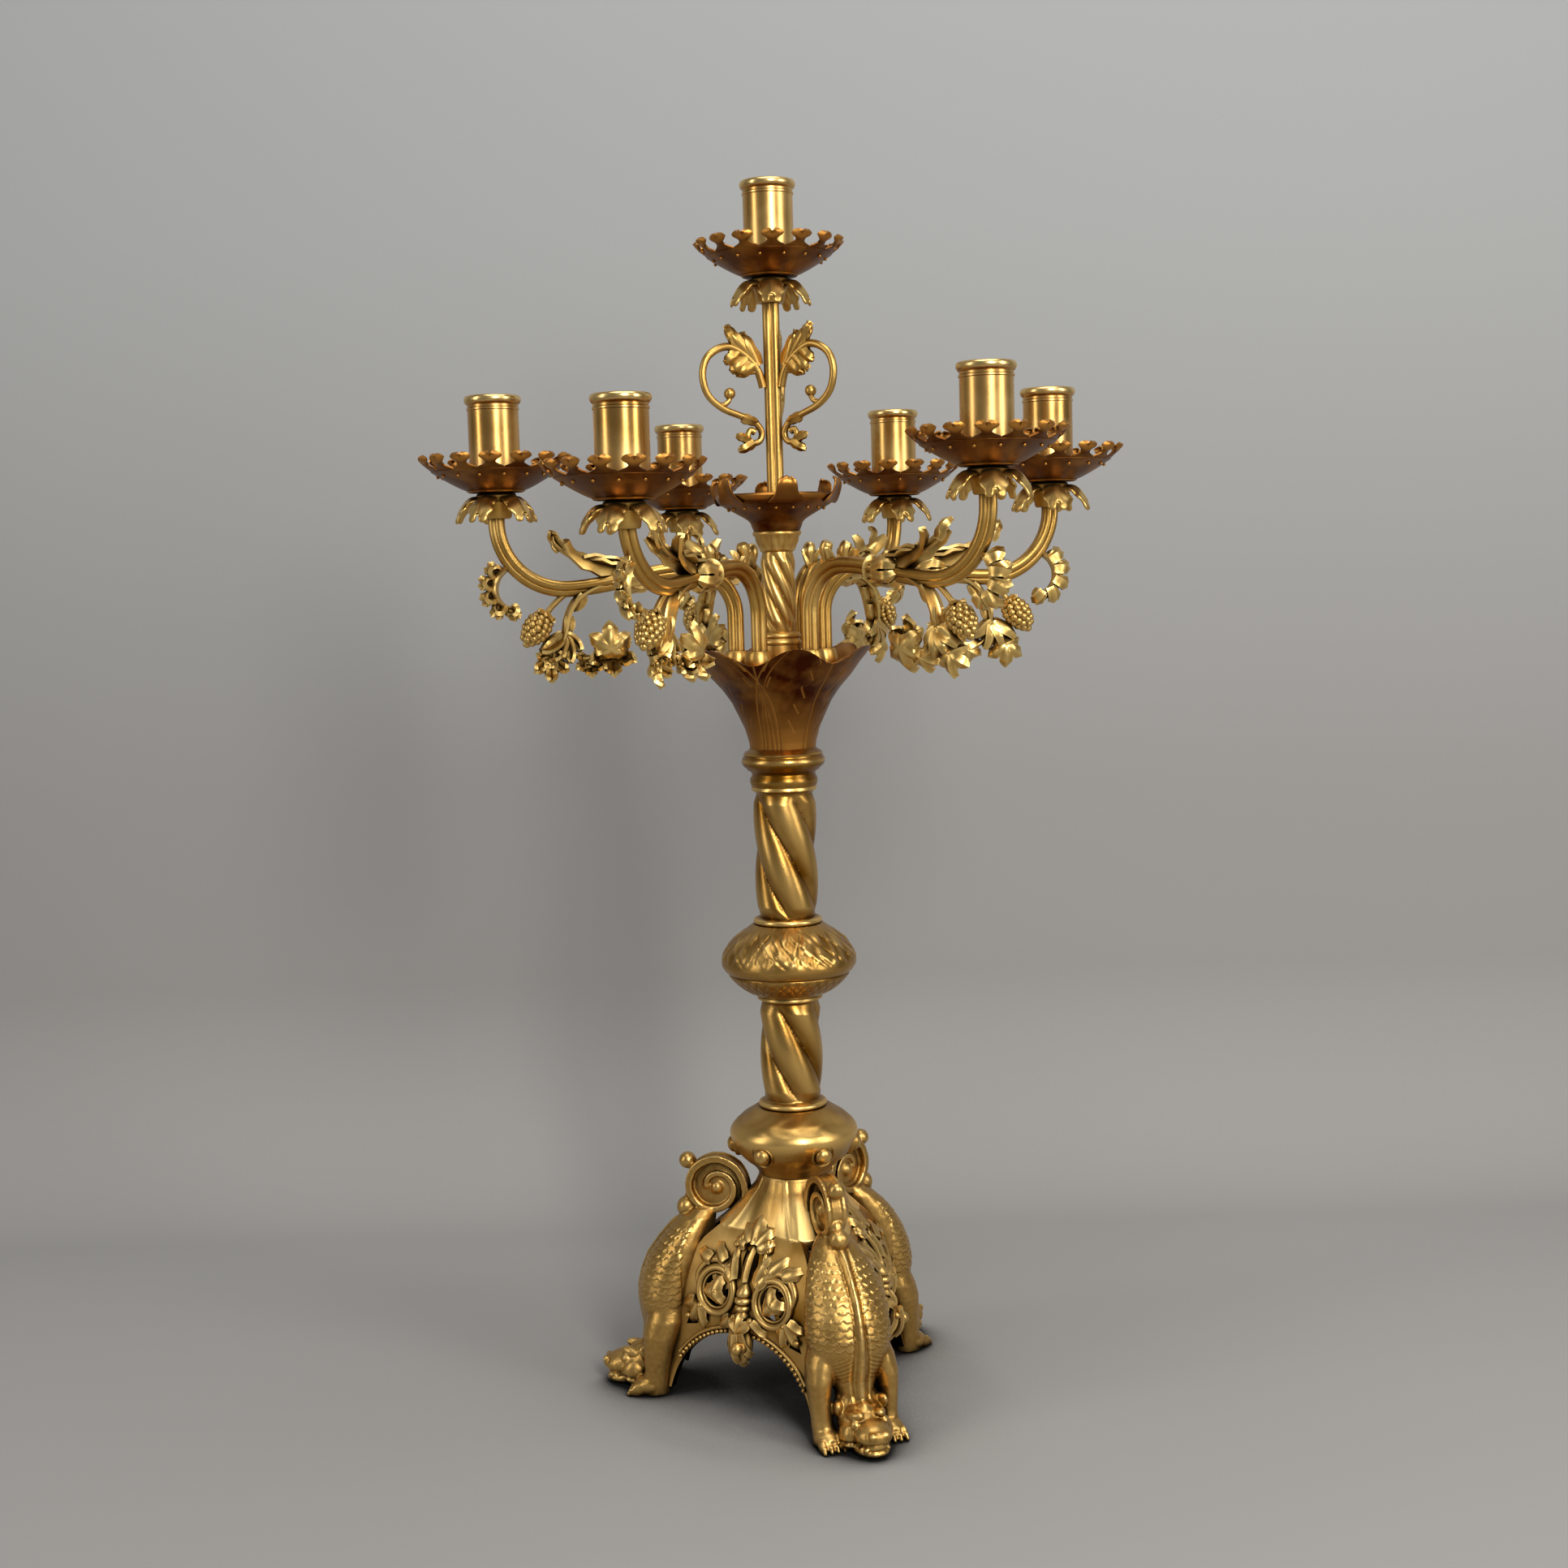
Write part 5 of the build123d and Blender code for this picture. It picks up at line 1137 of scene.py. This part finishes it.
# %% Masses
def stack(parts, levels, segments=36):
    """A body of level ellipses (height, reach, side, half depth, half width), extruded one to the next."""
    height, reach, side, depth, width = levels[0]
    bpy.ops.object.select_all(action="DESELECT")
    bpy.ops.mesh.primitive_circle_add(vertices=segments, radius=MM, fill_type="NGON")
    piece = bpy.context.object
    piece.data.transform(shift(reach, side, height) @ Matrix.Diagonal((depth, width, 1, 1)))
    bpy.ops.object.mode_set(mode="EDIT")
    bpy.ops.mesh.select_all(action="SELECT")
    for level in levels[1:]:
        step = [MM * (new - old) for new, old in zip((level[1], level[2], level[0]), (reach, side, height))]
        height, reach, side = level[0], level[1], level[2]
        bpy.ops.mesh.extrude_region_move(TRANSFORM_OT_translate={"value": step})
        bpy.ops.transform.resize(value=(level[3] / depth, level[4] / width, 1),
                                 center_override=(reach * MM, side * MM, height * MM))
        depth, width = level[3], level[4]
    bpy.ops.mesh.select_all(action="DESELECT")
    bpy.ops.mesh.select_non_manifold()
    bpy.ops.mesh.fill_holes(sides=0)
    bpy.ops.mesh.select_all(action="SELECT")
    bpy.ops.mesh.normals_make_consistent(inside=False)
    bpy.ops.object.mode_set(mode="OBJECT")
    parts.append(piece)


def mass(parts, place, radii, lean=0.0, turn=0.0):
    """An egg of three half lengths at a place, leaned up and turned sideways, in degrees."""
    bpy.ops.object.select_all(action="DESELECT")
    bpy.ops.mesh.primitive_uv_sphere_add(segments=20, ring_count=12, radius=MM)
    egg = bpy.context.object
    turned = Matrix.Rotation(math.radians(turn), 4, "Z") @ tilt(lean)
    egg.data.transform(shift(*place) @ turned @ Matrix.Diagonal((*radii, 1)))
    parts.append(egg)


beast_parts = []
stack(beast_parts, [
    (109, 54.5, 0, 7, 7.5), (104, 58.5, 0, 10.5, 12.5), (98, 62, 0, 13, 16), (90, 66, 0, 16, 19.2),
    (80, 70.5, 0, 18.5, 22), (70, 74, 0, 19.2, 23.6), (60, 75.8, 0, 19.6, 24.2), (50, 76.2, 0, 19, 23.2),
    (42, 77, 0, 16.8, 19), (36, 78.4, 0, 14.2, 14.5), (28, 81.5, 0, 12.2, 10.8), (18, 85, 0, 12.2, 10.6),
    (8, 87, 0, 12, 11.5), (1, 88, 0, 10, 10),
])
for side in (-1, 1):
    stack(beast_parts, [
        (54, 75, 14 * side, 11, 9), (45, 77, 17.2 * side, 11.6, 9), (36, 79.5, 19.8 * side, 10.4, 7.4),
        (27, 81, 20.4 * side, 8.6, 6.2), (15, 82.4, 19.6 * side, 7.4, 5.8), (7, 83.5, 18.9 * side, 8, 6.4),
        (0.6, 84, 18.8 * side, 8, 6.4),
    ])
    mass(beast_parts, (87.5, 18.8 * side, 5.2), (10, 7.6, 6.4), -8)
    for toe in (-5.1, -1.7, 1.7, 5.1):
        mass(beast_parts, (94.0, 18.8 * side + toe * 1.1, 3.6), (5.6, 1.8, 3.8), -12)
        mass(beast_parts, (98.8, 18.8 * side + toe * 1.15, 1.6), (1.8, 1.1, 1.6), -20)

# %% Head
mass(beast_parts, (92, 0, 14.4), (14, 13.6, 11.6))
mass(beast_parts, (107.5, 0, 11.8), (11.5, 10.6, 7.8), -8)
mass(beast_parts, (105.5, 0, 3.6), (12.4, 10.0, 3.8))
mass(beast_parts, (116.2, 0, 12.2), (3.4, 6.4, 4.4))
for side in (-1, 1):
    mass(beast_parts, (97.5, 9.8 * side, 9.6), (8.4, 5.6, 8.0), -10, 8 * side)
    mass(beast_parts, (100.5, 7.4 * side, 20.8), (6.8, 3.4, 2.8), 14, -18 * side)
    mass(beast_parts, (103.8, 8.6 * side, 17.0), (2.9, 2.7, 2.8))
    mass(beast_parts, (117.2, 3.8 * side, 14.2), (2.2, 2.4, 2.2))
    mass(beast_parts, (87.5, 12.0 * side, 21.0), (8.5, 2.8, 4.8), 28, 20 * side)
    for tooth in range(4):
        mass(beast_parts, (102.5 + 3.8 * tooth, (9.6 - 1.0 * tooth) * side, 6.2), (1.3, 1.2, 2.4))
for around in range(-72, 73, 24):
    lock = compass(90 + around)
    spot = lock @ Vector((10.6, 0, 0))
    mass(beast_parts, (81.5 + spot.x, spot.y, 26.5), (7.5, 2.6, 1.9), -62, around)

# %% Volute with its eye and berries
VOLUTE = (46.5, 121.0)
spiral = []
for around, radius in ((250, 21.0), (215, 18.4), (180, 17.0), (135, 17.0), (90, 17.4), (45, 17.4),
                       (0, 16.6), (-45, 14.8), (-90, 12.6), (-135, 11.0), (-180, 10.0), (-225, 9.2),
                       (-270, 8.4), (-315, 7.4), (-360, 6.4)):
    spiral.append((VOLUTE[0] + radius * math.cos(math.radians(around)),
                   VOLUTE[1] + radius * math.sin(math.radians(around))))
band_section = [(-1.8, -5.8), (-1.8, 5.8), (2.2, 5.8), (2.4, 4.2), (1.2, 3.0), (1.2, -3.0), (2.4, -4.2),
                (2.2, -5.8)]
beast_parts.append(carry_section("volute_band", smooth_line(spiral, 5), band_section,
                                 lambda t: 1.0 - 0.35 * t ** 3))
mass(beast_parts, (VOLUTE[0], 0, VOLUTE[1]), (15.0, 2.4, 15.0))
mass(beast_parts, (VOLUTE[0], 0, VOLUTE[1]), (4.4, 5.4, 4.4))
mass(beast_parts, (60.2, 0, 135.2), (4.0, 2.4, 2.4), 48)
mass(beast_parts, (64.2, 0, 136.6), (5.2, 5.2, 5.0))
mass(beast_parts, (66.0, 0, 108.6), (5.6, 6.0, 6.2), 12)
mass(beast_parts, (63.4, 0, 115.4), (3.0, 3.6, 3.4))
beast = joined("beast_pattern", beast_parts)
apply_modifier(beast, "REMESH", mode="VOXEL", voxel_size=0.8 * MM)
apply_modifier(beast, "SMOOTH", factor=0.5, iterations=2)
print("beast faces:", len(beast.data.polygons))

# %% Spine, scales and mouth
def scale_relief(across, down):
    """Overlapping scales: rising to each lower tip, then a step; both numbers count scales."""
    row = math.floor(down)
    for upper in (row - 1, row):
        offset = (across - 0.5 * (upper % 2) + 0.5) % 1.0 - 0.5
        if (offset / 0.56) ** 2 + ((down - upper - 0.35) / 0.85) ** 2 < 1:
            return 0.2 + 0.8 * (down - upper) / 1.2
    return 0.0


def beast_relief(p):
    """How far the surface is raised at a place, in millimetres."""
    raised = 0.12 * noise.noise(p * 0.35)
    off = abs(p.y)
    if p.z < 105 and p.z > 22 and p.x > 66 - max(0.0, p.z - 88) * 0.5:
        fade = min(1.0, (105 - p.z) / 5, (p.z - 22) / 6)
        wide = 2.4 + 1.6 * (1 - min(1.0, abs(p.z - 40) / 30))
        raised += fade * (1.7 * ridge(off, 0, wide) - 0.7 * ridge(off, wide + 1.0, 1.4))
        if off > wide + 1.2:
            around = math.degrees(math.atan2(p.y, p.x - 50)) / 8.0
            scaled = max(0.0, min(1.0, (p.z - 50) / 5, (102 - p.z) / 5))
            banded = max(0.0, min(1.0, (p.z - 34) / 3, (52 - p.z) / 3))
            raised += 0.8 * scaled * scale_relief(around, (106 - p.z) / 3.9)
            raised += 0.10 * banded * (off < 15) * math.cos(2 * math.pi * (p.z + 0.5 * off) / 2.6)
    if p.x > 96 and p.z < 12:
        raised -= 2.4 * ridge(p.z, 6.8 + 0.12 * (p.x - 104), 1.9) * min(1.0, (p.x - 96) / 4)
    return raised


moves = [vertex.normal * beast_relief(vertex.co / MM) * MM for vertex in beast.data.vertices]
for vertex, move in zip(beast.data.vertices, moves):
    vertex.co += move
    vertex.co.z = max(vertex.co.z, 0.0)
beast.data.update()
rub_by_shape(beast, 0.30, 3.6)
BEAST_ANGLES = [20.9, -99.1, 140.9]
for number, angle in enumerate(BEAST_ANGLES, 1):
    twin = copy_piece(beast, f"scaled_beast_{number}", compass(angle))
    finish(twin, base_gilt, stands_for=[f"base_beast_{number}"], angle=70)
bpy.data.objects.remove(beast)


# %% [markdown]
# ## The base: pierced sides and neck
#
# The pierced plates keep their CAD solids. Their ornament is modelled flat on a board, as a carver would:
# across is X, up is Y and the lift off the plate is Z. A rule then lays it on the curved plate, whose
# distance from the axis is measured on the CAD solid itself with a ray at each height. The neck above is
# turned, with raised folds that run down beside each side's middle.

# %% Laying ornament on a plate
PANEL_ANGLES = [angle - 60 for angle in BEAST_ANGLES]
plate_reach = []
to_panel = compass(PANEL_ANGLES[0])
for height in range(44, 99, 3):
    hit, spot, _, _ = nodes["base_panel_1"].ray_cast(to_panel @ Vector((0.12, 0.034, height * MM)),
                                                     to_panel @ Vector((-1, 0, 0)))
    if hit:
        plate_reach.append((height, (to_panel.inverted() @ spot).x / MM))
plate_reach = [(0, 58.0), (35, 52.6)] + plate_reach + [(103, 34.2), (112, 31.0), (122, 27.0)]
print("plate reach:", [(height, round(reach, 1)) for height, reach in plate_reach[:8]])


def reach_at(height):
    """The outer face's distance from the axis at a height, in millimetres."""
    for (low, near), (high, far) in zip(plate_reach, plate_reach[1:]):
        if height <= high:
            return near + (far - near) * (height - low) / (high - low)
    return plate_reach[-1][1]


def board(x, y, lift=0.0, angle=0.0, roll=0.0, lean=0.0):
    """A place on the board, pointing along an angle, rolled about its length and leaned off the board."""
    turned = Matrix.Rotation(math.radians(angle), 4, "Z")
    return shift(x, y, lift) @ turned @ tilt(lean) @ spin_on_x(roll)


# %% Roundels, buds and leaves
ROUNDEL = (21, 69)
ornament = []
for side in (-1, 1):
    for major, minor, lift in ((12.8, 2.1, 1.0), (9.9, 0.9, 0.6)):
        bpy.ops.object.select_all(action="DESELECT")
        bpy.ops.mesh.primitive_torus_add(major_radius=major * MM, minor_radius=minor * MM,
                                         major_segments=56, minor_segments=10)
        hoop = bpy.context.object
        hoop.data.transform(shift(ROUNDEL[0] * side, ROUNDEL[1], lift))
        ornament.append(hoop)
    for turn in range(3):
        angle = 90 + side * 20 + 120 * turn
        leafy(ornament, 9.0, 8.0, board(ROUNDEL[0] * side, ROUNDEL[1], 1.6, angle), 2.2, 20, 30, notches=2)
    ornament.append(ball(2.6, shift(ROUNDEL[0] * side, ROUNDEL[1], 2.4)))
    hook = smooth_line([(34.5, 69.0), (36.0, 76.0), (31.0, 83.0), (23.0, 86.0), (16.0, 83.0), (10.5, 88.0),
                        (10.0, 95.0)], 5)
    vine = carry_section("hook", hook, round_section(1.9, 10), lambda t: 0.7 + 0.5 * math.sin(math.pi * t))
    vine.data.transform(shift(0, 0, 0.6) @ Matrix.Rotation(math.radians(-90), 4, "X"))
    if side < 0:
        vine.data.transform(Matrix.Scale(-1, 4, (1, 0, 0)))
        vine.data.flip_normals()
    ornament.append(vine)
    for x, y, angle, length, width in (
        (33.0, 60.0, -62, 15, 7.5), (31.0, 58.0, -100, 13, 7), (35.0, 61.0, -25, 11, 6.5),
        (8.2, 78.0, 76, 20, 5.4), (9.0, 77.0, 44, 15, 6.5), (8.0, 56.0, -38, 12, 6.0),
        (17.0, 86.0, 40, 13, 6.5), (27.0, 85.5, 12, 12, 6.5), (3.0, 98.5, 48, 10, 7.0),
        (5.0, 97.0, 8, 8, 6.0),
    ):
        heading = angle if side > 0 else 180 - angle
        leafy(ornament, length, width, board(x * side, y, 1.4, heading), 2.2, 12, 40, notches=2)
    for x, y, radius in ((31.5, 58.5, 2.5), (9.5, 99.0, 2.4), (6.0, 56.5, 2.2), (12.0, 96.0, 2.0),
                         (40.5, 51.0, 2.0)):
        ornament.append(ball(radius, shift(x * side, y, 1.6)))
bud_profile = [(0.4, -12), (3.2, -11), (4.4, -8.4), (3.2, -6.2), (4.8, -5.0), (4.8, -3.4), (3.4, -2.4),
               (5.2, -1.0), (5.2, 0.8), (3.6, 1.8), (4.6, 3.0), (4.4, 5.0), (3.0, 7.4), (1.4, 9.6),
               (0.4, 10.6)]
bud = turn_on_lathe("ribbed_bud", bud_profile, 24)
bud.data.transform(shift(0, 67.5, 1.0) @ Matrix.Rotation(math.radians(-90), 4, "X"))
ornament.append(bud)
leafy(ornament, 21, 3.6, board(0, 78, 1.2, 90), 2.2, 8, 20, notches=0)
leafy(ornament, 14, 11, board(0, 98, 1.2, 90), 2.4, 10, 30, notches=3)
ornament.append(ball(3.0, shift(0, 100.5, 1.6)))

# %% Pendant flower and the beaded arch
for angle, length, width, lift, lean in ((-90, 22, 9, 5.0, -2), (-62, 15, 7, 4.6, 4), (-118, 15, 7, 4.6, 4),
                                         (90, 9, 6, 4.0, 10), (40, 8, 5.5, 4.0, 10), (140, 8, 5.5, 4.0, 10),
                                         (-90, 17, 5, 7.4, 6)):
    leafy(ornament, length, width, board(0, 50, lift, angle, 0, lean), 2.2, 16, 30, notches=2)
ornament.append(ball(3.6, shift(3.6, 42.5, 9.4)))
ornament.append(ball(2.2, shift(-3.0, 46.0, 7.0)))
bead_count = 46
for index in range(bead_count):
    around = math.radians(6 + 168 * index / (bead_count - 1))
    x, y = 54.4 * math.cos(around), 48.4 * math.sin(around)
    if abs(x) < 47 and not abs(x) < 6:
        ornament.append(ball(1.35, shift(x, y, 0.5)))
edge_line = [(56.6 * math.cos(math.radians(a)), 50.8 * math.sin(math.radians(a))) for a in range(34, 147, 4)]
edging = carry_section("arch_edging", edge_line, round_section(1.1, 8))
edging.data.transform(shift(0, 0, 0.3) @ Matrix.Rotation(math.radians(-90), 4, "X"))
ornament.append(edging)

ornament = joined("panel_ornament", ornament)
for vertex in ornament.data.vertices:
    x, y, lift = vertex.co / MM
    vertex.co = Vector((reach_at(y) + lift, x, y)) * MM
ornament.data.update()
rub_by_shape(ornament, 0.38, 0.9)
print("ornament faces:", len(ornament.data.polygons))
for number, angle in enumerate(PANEL_ANGLES, 1):
    twin = copy_piece(ornament, f"panel_ornament_{number}", compass(angle))
    finish(twin, base_gilt, angle=60)
bpy.data.objects.remove(ornament)

# %% Neck with folds
def neck_relief(angle, radius, height):
    """Raised folds beside the middle of each side, and a hollow between them."""
    if radius < 20 or height > 130:
        return 0.0
    off = min(abs(angle_from(angle, centre)) for centre in PANEL_ANGLES)
    fold = 24 + (130 - height) * 0.35
    square = 1 / math.cos(math.radians(min(off, 40))) - 1
    flare = radius * square * max(0.0, min(1.0, (126 - height) / 23)) ** 1.4
    return flare + 0.7 * ridge(off, fold, 3.0) - 0.3 * ridge(off, fold * 0.5, 9)


neck_profile = [(4.5, 132.0), (20.6, 132.0), (21.2, 131.2)]
neck_profile += smooth_line([(21.4, 130.0), (23.6, 125.0), (27.0, 119.6), (30.6, 112.4), (33.4, 105.4),
                             (34.4, 102.0), (33.8, 98.6)], 6)
neck_profile += [(31.0, 98.4), (28.6, 106.0), (23.4, 119.0), (17.4, 127.6), (4.5, 128.0)]
neck = turn_on_lathe("folded_neck", neck_profile, 240)
emboss(neck, neck_relief)
set_wear(neck, lambda p: 0.3 + 0.5 * neck_relief(angle_of(p.x, p.y), math.hypot(p.x, p.y), p.z))
finish(neck, base_gilt, stands_for=["base_neck"], angle=60)


# %% [markdown]
# ## Floor, backdrop and light
#
# The object stands before one sheet of grey paper that runs from the floor up in a curve. The lamps are
# four soft panels: a window in front on the right, which gives the most light, a weaker one on each side,
# and a wide one overhead. The world adds an even grey. Metal shows its surroundings, so the tall bright
# panels are what draws the bright stripes on the cups.

# %% Paper sweep
def paper_material(name, near, far, top):
    """Matt paper, a little darker half way up as the light falls off, and shaded close to the metal."""
    material, tree = new_material(name)
    place = add(tree, "ShaderNodeTexCoord").outputs["Object"]
    height = add(tree, "ShaderNodeSeparateXYZ", links={0: place}).outputs["Z"]
    share = add(tree, "ShaderNodeMapRange", {1: -0.05, 2: 0.75}, {0: height})
    ramp = add(tree, "ShaderNodeValToRGB", links={0: share.outputs[0]})
    ramp.color_ramp.elements[0].position = 0.08
    ramp.color_ramp.elements[0].color = colour(near)
    ramp.color_ramp.elements[1].position = 1.0
    ramp.color_ramp.elements[1].color = colour(top)
    middle = ramp.color_ramp.elements.new(0.45)
    middle.color = colour(far)
    fibre = add(tree, "ShaderNodeTexNoise", {"Scale": 1 / (1.5 * MM), "Detail": 2.0}, {"Vector": place})
    soft = add(tree, "ShaderNodeBump", {"Strength": 0.2, "Distance": 0.1 * MM},
               {"Height": fibre.outputs["Fac"]})
    near_metal = add(tree, "ShaderNodeAmbientOcclusion", {"samples": 8, "Distance": 100 * MM})
    contact = add(tree, "ShaderNodeMapRange", {1: 0.50, 2: 0.90, 3: 0.02, 4: 1.0},
                  {"Value": near_metal.outputs["AO"]})
    shaded = add(tree, "ShaderNodeMix", {"data_type": "RGBA", "blend_type": "MULTIPLY", 0: 1.0},
                 {6: ramp.outputs[0], 7: contact.outputs[0]})
    paper = add(tree, "ShaderNodeBsdfPrincipled", {"Roughness": 0.85, "Specular IOR Level": 0.2},
                {"Base Color": shaded.outputs[2], "Normal": soft.outputs[0]})
    # the sheet shows on its front only, so that the candelabrum can be looked at from behind it too
    through = add(tree, "ShaderNodeBsdfTransparent")
    side = add(tree, "ShaderNodeNewGeometry").outputs["Backfacing"]
    sheet = add(tree, "ShaderNodeMixShader", links={0: side, 1: paper.outputs[0], 2: through.outputs[0]})
    add(tree, "ShaderNodeOutputMaterial", links={"Surface": sheet.outputs[0]})
    return material


bpy.ops.object.select_all(action="DESELECT")
bpy.ops.mesh.primitive_plane_add(size=1, location=(0, -0.6, 0))
sweep = bpy.context.object
sweep.name = "paper_sweep"
sweep.scale = (6.0, 3.2, 1.0)
bpy.ops.object.transform_apply(location=True, rotation=False, scale=True)
bpy.ops.object.mode_set(mode="EDIT")
bpy.ops.mesh.select_all(action="DESELECT")
bpy.ops.object.mode_set(mode="OBJECT")
for edge in sweep.data.edges:
    ends = [sweep.data.vertices[index].co for index in edge.vertices]
    edge.select = all(point.y > 0.9 for point in ends)
bpy.context.tool_settings.mesh_select_mode = (False, True, False)
bpy.ops.object.mode_set(mode="EDIT")
bend_radius, bend_steps, wall_height, set_forward = 0.16, 14, 3.0, 0.70
for step in range(bend_steps):
    angle = math.radians(90) * (step + 0.5) / bend_steps
    length = bend_radius * math.radians(90) / bend_steps
    bpy.ops.mesh.extrude_region_move(
        TRANSFORM_OT_translate={"value": (0, length * math.cos(angle), length * math.sin(angle))})
bpy.ops.mesh.extrude_region_move(TRANSFORM_OT_translate={"value": (0, 0, wall_height)})
bpy.ops.object.mode_set(mode="OBJECT")
bpy.context.tool_settings.mesh_select_mode = (True, False, False)
for vertex in sweep.data.vertices:
    vertex.co.y -= set_forward
bpy.ops.object.shade_smooth()
sweep.data.materials.append(paper_material("grey seamless paper", "#9a9895", "#979593", "#9fa09f"))

# %% Lamps and world
def panel_lamp(name, place, aim, width, height, power, tint):
    """A soft rectangular lamp at a place, turned towards a point, both in metres."""
    bpy.ops.object.light_add(type="AREA", location=place)
    lamp = bpy.context.object
    lamp.name = name
    lamp.data.shape = "RECTANGLE"
    lamp.data.size, lamp.data.size_y = width, height
    lamp.data.energy = power
    lamp.data.color = colour(tint)[:3]
    lamp.rotation_euler = (Vector(aim) - Vector(place)).to_track_quat("-Z", "Y").to_euler()
    return lamp


panel_lamp("window_panel", (0.55, -1.75, 1.2), (0, 0, 0.40), 0.42, 1.0, 26, "#fffdfa")
panel_lamp("right_panel", (1.35, -0.8, 0.9), (0, 0, 0.4), 0.4, 1.2, 9, "#fffdfa")
panel_lamp("side_panel", (-1.5, -0.7, 0.9), (0, 0, 0.4), 0.30, 1.4, 6, "#fffcf8")
panel_lamp("top_panel", (0.1, -0.3, 2.0), (0, 0, 0.3), 1.2, 0.9, 15, "#fdfeff")
world = bpy.data.worlds.new("studio")
bpy.context.scene.world = world
world.use_nodes = True
tree = world.node_tree
tree.nodes.clear()
room = add(tree, "ShaderNodeBackground", {"Color": colour("#d7d8d9"), "Strength": 0.26})
add(tree, "ShaderNodeOutputWorld", links={"Surface": room.outputs[0]})
bpy.context.scene.view_settings.view_transform = "Standard"


# %% [markdown]
# ## What stays as the CAD has it
#
# The rod, its nut and washer, the hub plate and the arm nuts are plain machined parts, and their solids are
# already the real shape. They only need their finish, which goes into the node's material slots. The three
# pierced plates keep their solids too, under the ornament that was laid on them.

# %% Finishes for the carried-over nodes
kept = {"tie_rod": steel, "tie_rod_nut": steel, "tie_rod_washer": steel, "arm_hub": column_gilt,
        "arm_nuts": column_gilt}
for number in (1, 2, 3):
    kept[f"base_panel_{number}"] = plate_gilt
for name, material in kept.items():
    mesh = nodes[name].data
    if mesh.materials:
        for index in range(len(mesh.materials)):
            mesh.materials[index] = material
    else:
        mesh.materials.append(material)
print("kept nodes:", len(kept))
